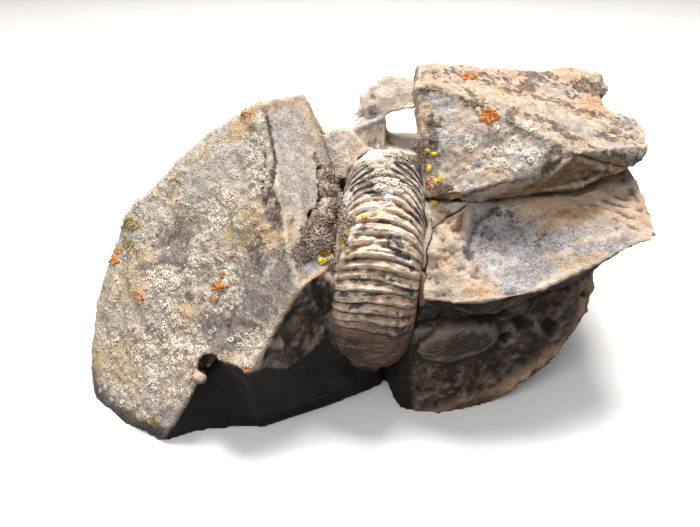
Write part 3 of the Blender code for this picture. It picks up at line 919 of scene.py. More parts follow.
# %% Patches of the block
block = smoothed_stone(block_points, block_faces)
block_front = block.turned_to((-0.35, -0.85, 0.35), 0.45, 0.75)
block_under = block.turned_to(UNDER_FACING, 0.0, 0.4)
block_dark = np.maximum.reduce([
    block.patches(
        (432, 89, 18, 5, 5), (475, 101, 18, 8, 20), (430, 135, 9, 20, 0), (514, 119, 12, 9, 0),
        (550, 124, 22, 9, 18), (574, 140, 18, 9, 20), (548, 160, 20, 9, -20), (440, 190, 14, 7, 10),
        (534, 78, 20, 14, 0), (584, 86, 20, 10, 10), (606, 140, 12, 6, 20), (600, 178, 20, 4, -8),
    ),
    0.7 * block.groove(
        [(445, 74), (480, 80), (500, 84), (517, 92), (545, 101), (575, 107), (590, 113)], 1.1
    ),
    0.7 * block.groove([(575, 108), (600, 113), (616, 117), (630, 124)], 0.8),
    0.8 * block.groove([(590, 148), (610, 155), (640, 160)], 0.9),
    0.64 * block.patches((622, 132, 20, 18, 0), (566, 86, 26, 12, 0), (470, 78, 60, 8, 8)),
])
block_lime = block_front * block.patches(
    (495, 160, 26, 14, -10), (520, 148, 24, 16, 0), (450, 110, 16, 10, 0), (455, 185, 24, 6, 0),
    (470, 140, 14, 14, 0),
)
block_rust = block.patches(
    (566, 176, 30, 10, -10), (520, 190, 30, 6, -10), (420, 110, 4, 40, 0), (610, 168, 30, 6, 5),
    (490, 170, 12, 10, 0), (600, 105, 26, 8, 20), (470, 68, 30, 3, 4),
    (540, 176, 40, 7, -12),
)
block_blue = block_front * block.patches(
    (442, 102, 22, 15, 5), (450, 150, 24, 40, 0), (500, 150, 40, 26, -10), (560, 150, 24, 14, 0),
    (455, 185, 30, 12, 0), (590, 138, 14, 8, 20), soft=0.6,
)
block_blue *= 0.45 + 0.5 * ease(layered_noise(block_points, 4.0, 3, 29), -0.3, 0.4)
block_bare = block.patches((480, 140, 26, 14, 0), (545, 140, 20, 12, 20), (430, 165, 9, 20, 0))
block_pale = block.patches((520, 68, 110, 7, 2), (596, 104, 30, 6, 18), (480, 88, 60, 5, 20))
print("dark stain on", round(float(block_dark.mean()) * 100), "% of the block")

# %% [markdown]
# ## The block's relief
#
# The sum is like the rock's, a little calmer in front and with clear thin beds on the side. The
# lip stands proud of a groove, a second groove runs under it, and the underside draws back from
# the rock. A faint print of a small whorl is left on the right. One function could serve rock and
# block, but nearly every number in it would be an argument, so the block has a sum of its own.

# %% Relief of the block
grains = ease(inside_grain(block_points, 1.7, 12), 0.0, 0.4)
BLOCK_TERRACES = 2.0
terraces = in_steps(BLOCK_TERRACES * layered_noise(block_points, 8.0, 3, 22), 0.6)
move = 0.55 * layered_noise(block_points, 12.0, 2, 32) + 0.34 * (terraces / BLOCK_TERRACES)
move += 0.15 * layered_noise(block_points, 2.2, 3, 52) + 0.14 * grains
move += 0.18 * in_steps(CHIPS_PER_UNIT * layered_noise(block_points, 3.2, 3, 24), 0.55)
beds = layered_noise(block_points * BED_STRETCH, 1.3, 3, 26)
move += 0.30 * beds * (1.0 - block_front)
sharpen = -hollowness(block_points, block.normals, block_faces)
move += 1.2 * np.clip(sharpen, 0.0, 0.5)
LIP = [(466, 197), (490, 188), (520, 181), (545, 173), (560, 162), (574, 154), (590, 162), (625, 170)]
move += 0.9 * block.step(LIP[::-1], 2.0) - 0.7 * block.groove(LIP, 0.5)
UNDER_LIP = [(576, 156), (590, 158), (612, 163), (640, 166)]
move -= 1.1 * block.groove(UNDER_LIP, 0.7)
move -= 1.0 * block_under * ease(block_points[:, 0], 24.0, 50.0)
WHORL_PRINT = (612, 136)
move += 0.12 * np.sin(block.distance(WHORL_PRINT) / 1.4) * block.patch(WHORL_PRINT, (16, 12))
block_done = block_points + block.normals * move[:, None]
print("the block has", len(block_done), "points")

# %% [markdown]
# ## Shader maths as Python
#
# A material is a graph of nodes. It can be drawn by hand in the shader editor, but it is easier
# to read as a formula. `Shade` wraps one output of a node, and an operator on it adds the Math
# node that does the sum. Colours are mixed with `blend`, because a Math node would turn them grey.


# %% The formula helper
def tone(red, green, blue):
    """A colour picked on a screen, 0 to 255, as the linear light that shaders work with."""
    return tuple((part / 255.0) ** 2.2 for part in (red, green, blue)) + (1.0,)


class Shade:
    """One output of a shader node, which can take part in a sum."""

    def __init__(self, recipe, output):
        self.recipe, self.output = recipe, output

    def math(self, operation, *values):
        """A Math node's result for these values or outputs."""
        return self.recipe.node("ShaderNodeMath", {"operation": operation}, dict(enumerate(values)))

    def size(self):
        """The value without its sign."""
        return self.math("ABSOLUTE", self)

    def __add__(self, other):
        return self.math("ADD", self, other)

    def __sub__(self, other):
        return self.math("SUBTRACT", self, other)

    def __rsub__(self, other):
        return self.math("SUBTRACT", other, self)

    def __mul__(self, other):
        return self.math("MULTIPLY", self, other)

    __radd__, __rmul__ = __add__, __mul__

    def rise(self, start, end):
        """0 at start and 1 at end, eased between. It falls where start is the larger."""
        settings = {"interpolation_type": "SMOOTHSTEP"}
        low, high, first, last = (start, end, 0.0, 1.0) if start < end else (end, start, 1.0, 0.0)
        values = {"Value": self, "From Min": low, "From Max": high, "To Min": first, "To Max": last}
        return self.recipe.node("ShaderNodeMapRange", settings, values)


print("a warm grey is", [round(part, 3) for part in tone(150, 140, 125)])

# %% [markdown]
# ## A material in the making
#
# All materials here need the same few things: noise in millimetres, a mask from the piece's
# points, a blend of two colours, and an ending with a bump. `Recipe` holds those. The noise reads
# the place on the object, so that it runs through the stone as its grain does.


# %% The recipe helper
class Recipe:
    """A material in the making. node() adds any node and hands back one of its outputs."""

    def __init__(self, name):
        self.material = bpy.data.materials.new(name)
        self.material.use_nodes = True
        self.tree = self.material.node_tree
        self.shader = self.tree.nodes["Principled BSDF"]
        place = self.node("ShaderNodeTexCoord", output="Object")
        self.place = self.node(
            "ShaderNodeVectorMath", {"operation": "SCALE"}, {0: place, "Scale": 1.0 / MM}
        )

    def node(self, kind, settings=None, values=None, output=0):
        """Any node: its settings first, then the values or links of its sockets."""
        added = self.tree.nodes.new(kind)
        for name, setting in (settings or {}).items():
            setattr(added, name, setting)
        self.feed(added, values or {})
        return Shade(self, added.outputs[output])

    def feed(self, node, values):
        """Links each output, and types in each plain value."""
        for name, value in values.items():
            if isinstance(value, Shade):
                self.tree.links.new(value.output, node.inputs[name])
            else:
                node.inputs[name].default_value = value

    def noise(self, size, detail=4.0, roughness=0.55, stretch=None):
        """Cloudy values round 0.5, with features of that size in mm."""
        place = self.place
        if stretch:
            place = self.node(
                "ShaderNodeVectorMath", {"operation": "MULTIPLY"}, {0: place, 1: stretch}
            )
        values = {"Vector": place, "Scale": 1.0 / size, "Detail": detail, "Roughness": roughness}
        return self.node("ShaderNodeTexNoise", None, values)

    def cells(self, size):
        """Distance to the nearest of a scatter of points, that size in mm apart."""
        values = {"Vector": self.place, "Scale": 1.0 / size}
        return self.node("ShaderNodeTexVoronoi", {"feature": "F1"}, values)

    def mask(self, name):
        """A mask that the piece's points carry."""
        return self.node("ShaderNodeAttribute", {"attribute_name": name}, None, "Fac")

    def torn(self, name, ragged, start, end):
        """A mask with a torn edge: noise is added where the mask is above 0, and the sum cut off."""
        mask = self.mask(name)
        return (mask + ragged * mask.rise(0.0, 0.25)).rise(start, end)

    def blend(self, low, high, factor):
        """One colour where the factor is 0, the other where it is 1, and a mix between."""
        values = {0: factor, 6: low, 7: high}
        return self.node("ShaderNodeMix", {"data_type": "RGBA"}, values, 2)

    def finish(self, colour, roughness, height, depth, specular=0.4):
        """Feeds the shader: a colour, a roughness, and a height in mm as bump."""
        normal = self.node(
            "ShaderNodeBump", None, {"Height": height, "Distance": depth * MM, "Strength": 1.0},
            "Normal",
        )
        self.feed(self.shader, {"Base Color": colour, "Roughness": roughness, "Normal": normal})
        self.shader.inputs["Specular IOR Level"].default_value = specular
        return self.material


print("a recipe offers", [name for name in vars(Recipe) if not name.startswith("__")])

# %% [markdown]
# ## The kinds of stone
#
# Each kind is two tones with noise between them. Sandy stone also has dark grains, warm and grey
# regions and a pale rear rim. The lichen's crust is full of small rings. They could all be
# modelled, as the clearest are further on, but most are finer than the grid. In the material, a
# ring is a pale band at one distance from each of a scatter of points, with a dark middle.


# %% Sand and crust
RING_SPACING = 1.15


def sandy_stone(recipe, fine, middle, broad):
    """Two sandy tones, then dark grains, warm and grey regions, and the pale rim."""
    sand = recipe.blend(tone(164, 145, 127), tone(210, 190, 169), middle.rise(0.3, 0.68))
    sand = recipe.blend(sand, tone(122, 104, 90), fine.rise(0.43, 0.32) * 0.8)
    sand = recipe.blend(sand, tone(196, 158, 126), broad.rise(0.48, 0.68) * 0.6)
    sand = recipe.blend(sand, tone(168, 160, 154), broad.rise(0.48, 0.36) * 0.8)
    return recipe.blend(sand, tone(240, 222, 204), recipe.mask("pale") * 0.9)


def lichen_crust(recipe, fine, middle, broad):
    """The crust's colour, with the ring's rim and the pit in its middle: bands of the distance."""
    ring = recipe.cells(RING_SPACING)
    rim = ring.rise(0.16, 0.27) * ring.rise(0.46, 0.34)
    pit = ring.rise(0.2, 0.1)
    crust = recipe.blend(tone(166, 148, 128), tone(218, 203, 183), fine.rise(0.34, 0.62))
    crust = recipe.blend(crust, tone(198, 164, 122), (broad + 0.5 * middle).rise(0.72, 0.86) * 0.75)
    crust = recipe.blend(crust, tone(196, 188, 184), (broad + 0.4 * middle).rise(0.68, 0.54) * 0.65)
    crust = recipe.blend(crust, tone(222, 212, 196), rim * middle.rise(0.42, 0.62) * 0.45)
    crust = recipe.blend(crust, tone(132, 114, 97), pit * middle.rise(0.4, 0.55) * 0.4)
    return crust, rim, pit


print("the crust's rings are about", RING_SPACING, "mm apart")

# %% [markdown]
# ## Stone
#
# One recipe covers all the rock, because separate materials would meet in hard lines. It starts
# as sandy stone and lays the other kinds over it: rust, blue grey, lichen crust, bare purple-grey
# skin, fresh break, dark stain and lime. Each layer's edge is the mask with noise added, cut off
# sharply, so it is as ragged as a real one. Painted shade, near-black painted shadow, painted shade
# in hollows, painted highlights on ridges, specks and the cracks' lines come last.


# %% The recipe for stone
def stone_material():
    """Sand, with each kind blended over it by its torn mask, and a bump from the same noises."""
    recipe = Recipe("weathered_stone")
    fine = recipe.noise(0.55, 5.0, 0.65)
    middle = recipe.noise(2.4, 5.0, 0.6)
    broad = recipe.noise(11.0, 4.0, 0.55)
    speck = recipe.noise(0.26, 3.0, 0.7)
    ragged = 3.2 * (recipe.noise(1.7, 7.0, 0.74) - 0.5)

    def layer(name, start=0.35, end=0.65):
        """This stone's torn edge of a mask."""
        return recipe.torn(name, ragged, start, end)

    sand = sandy_stone(recipe, fine, middle, broad)
    crust, rim, pit = lichen_crust(recipe, fine, middle, broad)
    grain = fine + 0.5 * middle
    blue = recipe.blend(tone(100, 104, 115), tone(184, 183, 186), grain.rise(0.56, 0.94))
    fresh = (fine + 0.6 * middle).rise(0.6, 1.0)
    fresh = recipe.blend(tone(140, 133, 126), tone(198, 188, 176), fresh)
    fresh = recipe.blend(fresh, tone(200, 180, 156), broad.rise(0.5, 0.64) * 0.6)
    bare = recipe.blend(tone(104, 95, 92), tone(156, 144, 137), (fine + 0.4 * middle).rise(0.5, 0.9))
    dark = recipe.blend(tone(66, 54, 48), tone(136, 117, 103), fine.rise(0.38, 0.66))
    rust = recipe.blend(tone(150, 114, 82), tone(214, 172, 132), grain.rise(0.55, 0.95))
    gloom = 0.7 * middle + 0.5 * fine + 0.5 * broad
    shade = recipe.blend(tone(30, 26, 24), tone(122, 108, 96), gloom.rise(0.76, 1.04))
    warm_grains = recipe.mask("warm") * middle.rise(0.35, 0.65) * 0.6
    shade = recipe.blend(shade, tone(136, 98, 78), warm_grains)
    # deep is near-black painted shadow: the foot under the slab, the pits and the band under the ledge
    deep = recipe.blend(tone(14, 12, 11), tone(32, 27, 25), middle.rise(0.35, 0.7))

    crust_edge, bare_edge = layer("crust", 0.3, 0.6), layer("bare")
    colour = recipe.blend(sand, rust, layer("rust") * 0.8)
    colour = recipe.blend(colour, blue, layer("blue") * (0.55 + 0.5 * middle))
    colour = recipe.blend(colour, crust, crust_edge)
    colour = recipe.blend(colour, bare, bare_edge * 0.9)
    colour = recipe.blend(colour, fresh, layer("fresh", 0.4, 0.55))
    colour = recipe.blend(colour, dark, layer("dark", 0.5, 0.75) * 0.9)
    colour = recipe.blend(colour, tone(224, 218, 210), layer("lime", 0.5, 0.8) * (0.35 + 0.5 * fine))
    in_shade = (recipe.mask("shade") + 0.5 * (middle - 0.5)).rise(0.15, 0.8)
    colour = recipe.blend(colour, shade, in_shade)
    # painted shade in the hollows of the relief
    painted_hollow_shade = recipe.mask("pit").rise(0.1, 0.8) * (0.65 - 0.4 * crust_edge)
    colour = recipe.blend(colour, tone(58, 48, 42), painted_hollow_shade)
    # painted highlight on the ridges, weaker inside the painted shade
    painted_ridge_highlight = recipe.mask("ridge").rise(0.1, 0.9) * (0.4 - 0.22 * in_shade)
    colour = recipe.blend(colour, tone(230, 216, 198), painted_ridge_highlight)
    colour = recipe.blend(colour, tone(66, 55, 48), speck.rise(0.42, 0.3) * (0.5 - 0.35 * crust_edge))
    colour = recipe.blend(colour, tone(240, 230, 216), speck.rise(0.6, 0.72) * (0.4 - 0.3 * in_shade))
    colour = recipe.blend(colour, deep, recipe.mask("deep"))
    gap = (recipe.mask("crack_side") - 0.5).size()
    line = (gap + 0.12 * (fine - 0.5)).rise(0.09, 0.03) * recipe.mask("crack_near").rise(0.3, 0.7)
    colour = recipe.blend(colour, tone(34, 29, 26), line)
    lichen = crust_edge * (1.0 - bare_edge) * (1.1 * rim - 0.9 * pit)
    height = fine + 1.6 * middle + 0.35 * speck + 0.4 * lichen - 1.5 * line
    return recipe.finish(colour, 0.72 + 0.25 * fine, height, 0.42, specular=0.3)


stone = stone_material()
print("stone:", len(stone.node_tree.nodes), "nodes")

# %% [markdown]
# ## Dressing the pieces
#
# A piece takes its solid's place and rides on the same body, so it stays where the solid is. Its
# masks go along as attributes, one number a point, which the material looks up by name. Images
# could hold them too, but the stone would have to be unwrapped first.


# %% Pieces of rock with their masks
def dress(obj, node, material, masks):
    """Puts a piece in a node's place: its material, its masks and the body that carries it."""
    obj.data.materials.append(material)
    for name, values in masks.items():
        obj.data.attributes.new(name, "FLOAT", "POINT").data.foreach_set(
            "value", np.clip(values, 0.0, 1.0).astype(np.float32)
        )
    if node:
        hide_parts(node)
    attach(obj, "root")


def relief_masks(points, faces):
    """Where shade is painted into hollows and a highlight onto ridges: from how hollow the finished
    surface is.
    """
    normals = point_normals(points, faces)
    hollow = hollowness(points, normals, faces)
    return {"pit": ease(hollow, 0.04, 0.28), "ridge": ease(-hollow, 0.05, 0.30)}


rock_piece = add_mesh("rock", rock_done, rock_faces)
dress(rock_piece, "matrix_rock", stone, {
    "crust": slab_side,
    "bare": rock_bare * slab_side,
    "fresh": rock_fresh,
    "blue": rock_blue,
    "dark": rock_dark,
    # shade is painted shade: on faces turned down, the foot under the slab, near the ground, the dark
    # facet, below the ledge and low down beside the shell
    "shade": np.maximum.reduce([
        lower_mass * (1 - 0.72 * mass_rim) * (1 - 0.3 * plate), foot, under, 0.7 * painted_shade_near_ground,
        facet * (0.72 + 0.5 * layered_noise(rock_points, 2.0, 3, 28)),
        grip * (1 - ease(rock_points[:, 2], 16.0, 26.0)) * (rock_points[:, 1] < 0.0),
    ]),
    # deep: near-black painted shadow on the foot, in the pits and under the ledge
    "deep": np.maximum.reduce([
        foot, 0.85 * pits, 0.7 * rock.patch((455, 315), (52, 7), -2, soft=0.5),
        0.8 * rock.groove(LEDGE_LINE, 0.5),
    ]),
    "rust": np.maximum(rock_rust, mass_rim),
    "lime": 0.75 * rock_lime,
    "pale": rear_rim,
    "warm": np.maximum(mass_rim, lower_mass * rock.patch((450, 395), (60, 20))),
    "crack_side": crack_side,
    "crack_near": crack_near,
    **relief_masks(rock_done, rock_faces),
})
nowhere = np.zeros(len(block_points))
block_piece = add_mesh("block", block_done, block_faces)
dress(block_piece, "upper_block", stone, {
    "crust": 0.35 * block_front,
    "bare": block_bare * block_front,
    "fresh": nowhere,
    "blue": block_blue,
    "dark": block_dark,
    "shade": 0.1 * block_under,
    "deep": nowhere,
    "rust": block_rust,
    "lime": 0.7 * block_lime,
    "pale": 0.15 * block_pale,
    "warm": nowhere,
    "crack_side": nowhere + 1.0,
    "crack_near": nowhere,
    **relief_masks(block_done, block_faces),
})
print("pieces of rock:", rock_piece.name, block_piece.name)

# %% [markdown]
# ## Shell
#
# The fossil shell is cream lime with blue-black stains, and painted shade darkens its grooves. It
# could take the stone's recipe in other tones, but hardly a layer is the same, so it has its own.
# Streaks run along the ribs, as the shell once grew, so their noise is stretched. The flaked part,
# the belly, the pink smears and the pearly scraps are laid over it like the kinds of stone, in the
# order in which one covers another. Only the pearly scraps are a little glossy.


# %% The recipe for shell
def shell_cream(recipe, fine, middle, broad, streak, lowness):
    """Cream by noise, with brown and grey streaks, brown low down, chips, and painted shade in the
    grooves.
    """
    crest = recipe.mask("crest")
    cream = (middle + 0.5 * fine).rise(0.55, 0.95)
    cream = recipe.blend(tone(214, 192, 164), tone(250, 237, 216), cream)
    cream = recipe.blend(cream, tone(210, 160, 116), (streak + 0.5 * broad).rise(0.7, 0.9) * 0.75)
    cream = recipe.blend(cream, tone(172, 168, 168), broad.rise(0.54, 0.64) * 0.4)
    cream = recipe.blend(cream, tone(150, 116, 92), (streak - 0.4 * broad).rise(0.32, 0.16) * 0.8)
    brown = (streak + 0.4 * fine).rise(0.5, 0.9)
    brown = recipe.blend(tone(132, 100, 80), tone(206, 168, 136), brown)
    cream = recipe.blend(cream, brown, lowness * (1.0 - 0.7 * crest))
    chipped = recipe.blend(tone(140, 114, 92), tone(206, 176, 146), fine.rise(0.4, 0.6))
    cream = recipe.blend(cream, chipped, recipe.mask("chips") * 0.85)
    speckle = recipe.noise(0.3, 3.0, 0.7).rise(0.4, 0.28) * 0.35
    cream = recipe.blend(cream, tone(96, 80, 70), speckle)
    # painted shade in the grooves between the ribs, stronger low down
    painted_groove_shade = (1.0 - crest + 0.9 * (middle - 0.5)).rise(0.78, 1.05)
    return recipe.blend(cream, tone(92, 72, 60), painted_groove_shade * (0.42 + 0.35 * lowness))


def shell_material():
    """Cream, with each mark blended over it by its torn mask, and a bump from the noises."""
    recipe = Recipe("fossil_shell")
    fine = recipe.noise(0.35, 5.0, 0.65)
    middle = recipe.noise(1.6, 5.0, 0.6)
    broad = recipe.noise(5.0, 4.0, 0.6)
    streak = recipe.noise(1.3, 4.0, 0.6, stretch=(0.3, 1.0, 1.5))
    crest, ridge, hollow = recipe.mask("crest"), recipe.mask("ridge"), recipe.mask("pit")
    ragged = 3.0 * (recipe.noise(1.3, 7.0, 0.74) - 0.5)

    def layer(name, start=0.35, end=0.6):
        """This shell's torn edge of a mask."""
        return recipe.torn(name, ragged, start, end)

    lowness = (recipe.mask("low") + 0.8 * (middle - 0.5)).rise(0.3, 0.9)
    cream = shell_cream(recipe, fine, middle, broad, streak, lowness)
    ink = recipe.blend(tone(36, 36, 42), tone(112, 111, 116), (fine + 0.5 * middle).rise(0.6, 1.0))
    stain = layer("stain", 0.4, 0.55)
    colour = recipe.blend(cream, ink, stain * 0.92)
    worn = recipe.blend(tone(66, 55, 52), tone(140, 124, 112), (0.5 * crest + fine).rise(0.6, 1.2))
    worn = recipe.blend(worn, tone(190, 184, 180), (ridge + ragged).rise(0.7, 1.2) * 0.35)
    lime = recipe.blend(tone(144, 126, 106), tone(216, 204, 186), (fine + 0.5 * middle).rise(0.6, 0.95))
    worn = recipe.blend(worn, lime, layer("lime", 0.3, 0.5))
    colour = recipe.blend(colour, worn, recipe.mask("flaked"))
    # the belly's dark brown is partly the shell's own colour and partly painted shade on its
    # down-facing underside
    belly = recipe.blend(tone(84, 66, 57), tone(140, 112, 94), (streak + 0.4 * fine).rise(0.5, 0.85))
    smear = recipe.blend(tone(30, 27, 28), tone(104, 97, 93), fine.rise(0.44, 0.6))
    belly = recipe.blend(belly, smear, stain * (fine + 0.3 * streak).rise(0.92, 0.66))
    colour = recipe.blend(colour, belly, recipe.mask("belly"))
    colour = recipe.blend(colour, tone(224, 180, 148), layer("pink") * 0.7)
    pearl = (middle + 0.5 * fine).rise(0.6, 0.85)
    pearl = recipe.blend(tone(190, 188, 192), tone(250, 248, 246), pearl)
    pearl_edge = layer("pearl", 0.4, 0.55)
    colour = recipe.blend(colour, pearl, pearl_edge)
    sandy = recipe.blend(tone(150, 128, 104), tone(216, 194, 164), (fine + 0.4 * middle).rise(0.5, 0.9))
    colour = recipe.blend(colour, sandy, layer("crusty", 0.4, 0.6))
    # painted shade in the hollows of the relief
    colour = recipe.blend(colour, tone(56, 44, 38), hollow.rise(0.1, 0.9) * 0.6)
    # painted highlight on the ridges of the shell
    painted_ridge_highlight = ridge.rise(0.2, 1.0) * 0.55 * (1.0 - recipe.mask("belly"))
    colour = recipe.blend(colour, tone(240, 228, 212), painted_ridge_highlight)
    roughness = 0.66 + 0.2 * fine - 0.3 * pearl_edge
    return recipe.finish(colour, roughness, fine + 1.3 * middle + 0.6 * streak, 0.28, specular=0.4)


shell_piece = add_mesh("ammonite_shell", shell_points, shell_tris)
dress(shell_piece, "ammonite", shell_material(), {
    name: np.append(values, [0.0, 0.0]) for name, values in {
        "crest": wave,
        "belly": belly * shown,
        "low": low,
        "flaked": flaked,
        "chips": chips,
        "pit": ease(shell_hollow, 0.02, 0.22),
        "ridge": ease(-shell_hollow, 0.03, 0.20),
        "stain": stain * (1.0 - 0.35 * wave * (1.0 - belly)),
        "lime": lime,
        "pink": pink,
        "pearl": pearl,
        "crusty": crusty,
    }.items()
})
print("shell masks:", [item.name for item in shell_piece.data.attributes if item.data_type == "FLOAT"])

# %% [markdown]
# ## What grows on it
#
# Lichens and moss sit on the stone, so each one has to find the surface. A particle system would
# scatter them evenly, but they grow in colonies. So a ray from the eye through a place in the
# picture lands on the stone, and the surface's normal there says which way is up. The cushion of
# moss is one of the surfaces: its solid, made finer and lumpy.

# %% Finding the surface
moss_points, moss_faces = fine_copy("moss_cushion", MOSS_VOXEL)
cushion = smoothed_stone(moss_points, moss_faces)
moss_move = 0.5 * layered_noise(moss_points, 3.0, 3, 91) - 0.2
moss_done = moss_points + cushion.normals * moss_move[:, None]
surfaces = {
    name: BVHTree.FromPolygons(points.tolist(), faces.tolist())
    for name, points, faces in (
        ("rock", rock_done, rock_faces),
        ("block", block_done, block_faces),
        ("shell", shell_points, shell_tris),
        ("moss", moss_done, moss_faces),
    )
}
LOWEST_GROWTH = 1.5  # mm above the ground
rng = np.random.default_rng(7)


def landing(column, row):
    """What a sight line meets first: (piece, point, normal), or None."""
    line = sight_line(column, row)
    best = None
    for piece, tree in surfaces.items():
        point, normal, _, distance = tree.ray_cast(Vector(EYE), Vector(line))
        if point is not None and (best is None or distance < best[3]):
            best = (piece, np.array(point), np.array(normal), distance)
    return best[:3] if best else None


def landings(places, wanted):
    """Points and normals for those places that land on the wanted pieces."""
    found = [landing(column, row) for column, row in places]
    kept = [hit for hit in found if hit and hit[0] in wanted and hit[1][2] > LOWEST_GROWTH]
    return np.array([hit[1] for hit in kept]), np.array([hit[2] for hit in kept])


def strewn(patches):
    """Random places in lobed patches, each (column, row, half width, half height, how many)."""
    places = []
    for column, row, wide, high, count in patches:
        turn = rng.random(count) * 2 * math.pi
        lobes = 0.8 + 0.3 * np.sin(3 * turn + column) * np.sin(2 * turn + row)
        reach = np.sqrt(rng.random(count)) * lobes
        places.append(np.stack(
            [column + wide * reach * np.cos(turn), row + high * reach * np.sin(turn)], axis=1
        ))
    return np.concatenate(places)


print("the eye's centre line meets the", landing(350, 263)[0])

# %% [markdown]
# ## One small shape, many places
#
# Rings, grains and leaves are each one small closed shape of 12 to 64 triangles, turned round its
# own axis. Instances would be lost when the piece is passed on, so the copies are real corners,
# all worked out in one array sum.


# %% Copying one shape to many places
ANY_WAY = np.array((0.31, 0.17, 0.93))  # hardly any normal points exactly this way


def random_spins(count):
    """Angles from 0 to a whole turn."""
    return rng.random(count) * 2 * math.pi


def copied(shape, faces, points, normals, sizes, spins):
    """Each copy: the shape scaled, spun about its own Z, tipped onto the normal and moved."""
    side = unit(np.cross(normals, ANY_WAY))
    other = np.cross(normals, side)
    cos, sin = np.cos(spins)[:, None], np.sin(spins)[:, None]
    first, second = side * cos + other * sin, other * cos - side * sin
    axes = np.stack([first, second, normals], axis=1) * sizes[:, None, None]
    verts = np.einsum("vk,nkj->nvj", shape, axes) + points[:, None, :]
    shift = np.arange(len(points))[:, None, None] * len(shape)
    return verts.reshape(-1, 3), (faces[None] + shift).reshape(-1, 3)


def leaning(normals, amount):
    """Normals pushed aside at random by that amount."""
    return unit(normals + amount * rng.standard_normal(normals.shape))


def turned_shape(profile, sides):
    """A closed shape turned round Z from (radius, height) pairs, which start and end on the axis."""
    turn = np.arange(sides) / sides * 2 * math.pi
    rings = [np.stack([radius * np.cos(turn), radius * np.sin(turn), np.full(sides, height)], axis=1)
             for radius, height in profile[1:-1]]
    verts = np.concatenate([[[0, 0, profile[0][1]]], *rings, [[0, 0, profile[-1][1]]]])
    here, after = np.arange(sides), (np.arange(sides) + 1) % sides
    faces = [np.stack([np.zeros(sides, int), 1 + here, 1 + after], axis=1)]
    for ring in range(len(rings) - 1):
        low, high = 1 + ring * sides, 1 + (ring + 1) * sides
        faces.append(np.stack([low + here, high + here, high + after], axis=1))
        faces.append(np.stack([low + here, high + after, low + after], axis=1))
    last = 1 + (len(rings) - 1) * sides
    faces.append(np.stack([last + here, np.full(sides, len(verts) - 1), last + after], axis=1))
    return verts, np.concatenate(faces)


RING_PROFILE = [(0, 0.04), (0.25, 0.05), (0.40, 0.22), (0.52, 0.15), (0.60, -0.2), (0, -0.2)]
RING_SIDES, GRAIN_SIDES, LEAF_SIDES = 8, 6, 3
ring_verts, ring_faces = turned_shape(RING_PROFILE, RING_SIDES)
ring_rim = np.repeat([0.0, 0.0, 1.0, 1.0, 0.3, 0.0], [1, *[RING_SIDES] * 4, 1])
GRAIN_PROFILE = [(0, 0.55), (0.42, 0.38), (0.52, 0.05), (0.3, -0.3), (0, -0.4)]
grain_verts, grain_faces = turned_shape(GRAIN_PROFILE, GRAIN_SIDES)
LEAF_PROFILE = [(0, 1.0), (0.16, 0.35), (0.07, -0.2), (0, -0.25)]
leaf_verts, leaf_faces = turned_shape(LEAF_PROFILE, LEAF_SIDES)
print("triangles:", {"ring": len(ring_faces), "grain": len(grain_faces), "leaf": len(leaf_faces)})

# %% [markdown]
# ## Lichen rings
#
# The crust's fruits are small cups with a pale raised rim and a darker disc. The material has
# drawn a carpet of them already, but only as colour and bump, and the clearest ones catch the
# light. So those are real cups. Most of the slab's are worn and hardly paler than the crust, and a
# few shine out, so each ring draws its own paleness. They keep off the bare skin, where the crust
# has fallen away.


# %% Lichen rings
def ring_material():
    """Two tones of disc and of rim, parted by the rim mask that each ring carries."""
    recipe = Recipe("lichen_ring")
    fine = recipe.noise(0.5)
    broad = recipe.noise(9.0)
    rim = (fine + 0.9 * (broad - 0.5)).rise(0.36, 0.62)
    rim = recipe.blend(tone(192, 178, 160), tone(234, 227, 216), rim)
    disc = recipe.blend(tone(146, 129, 112), tone(188, 171, 152), fine.rise(0.35, 0.65))
    colour = recipe.blend(disc, rim, recipe.mask("rim").rise(0.15, 0.7))
    return recipe.finish(colour, 0.85 + 0.1 * fine, fine, 0.05, specular=0.25)


def add_rings(name, patches, wanted, small, large, paleness=1.0, keep=None):
    """Rings strewn in patches, as one piece. keep(points, normals) may drop some."""
    points, normals = landings(strewn(patches), wanted)
    if keep is not None:
        kept = keep(points, normals)
        points, normals = points[kept], normals[kept]
    sizes = rng.uniform(small, large, len(points))
    spins = random_spins(len(points))
    shades = np.repeat(paleness * rng.uniform(0.5, 1.5, len(points)), len(ring_rim))
    lean = leaning(normals, 0.12)
    verts, faces = copied(ring_verts, ring_faces, points, lean, sizes, spins)
    piece = add_mesh(name, verts, faces)
    dress(piece, None, rings, {"rim": shades * np.tile(ring_rim, len(points))})
    print(name, len(points), "rings")


def off_bare_stone(points, normals):
    """Rings keep to the slab's own face, and few grow on its bare skin."""
    here = Stone(points, normals)
    on_face = here.turned_to(SLAB_FACING, 0.3, 0.7)
    on_face *= here.below(SLAB_EDGE) < -2.0
    on_face *= here.facing > 0.9
    return rng.random(len(points)) < on_face * (1.0 - 0.86 * ease(here.patches(*LARGE_BARE), 0.3, 0.6))


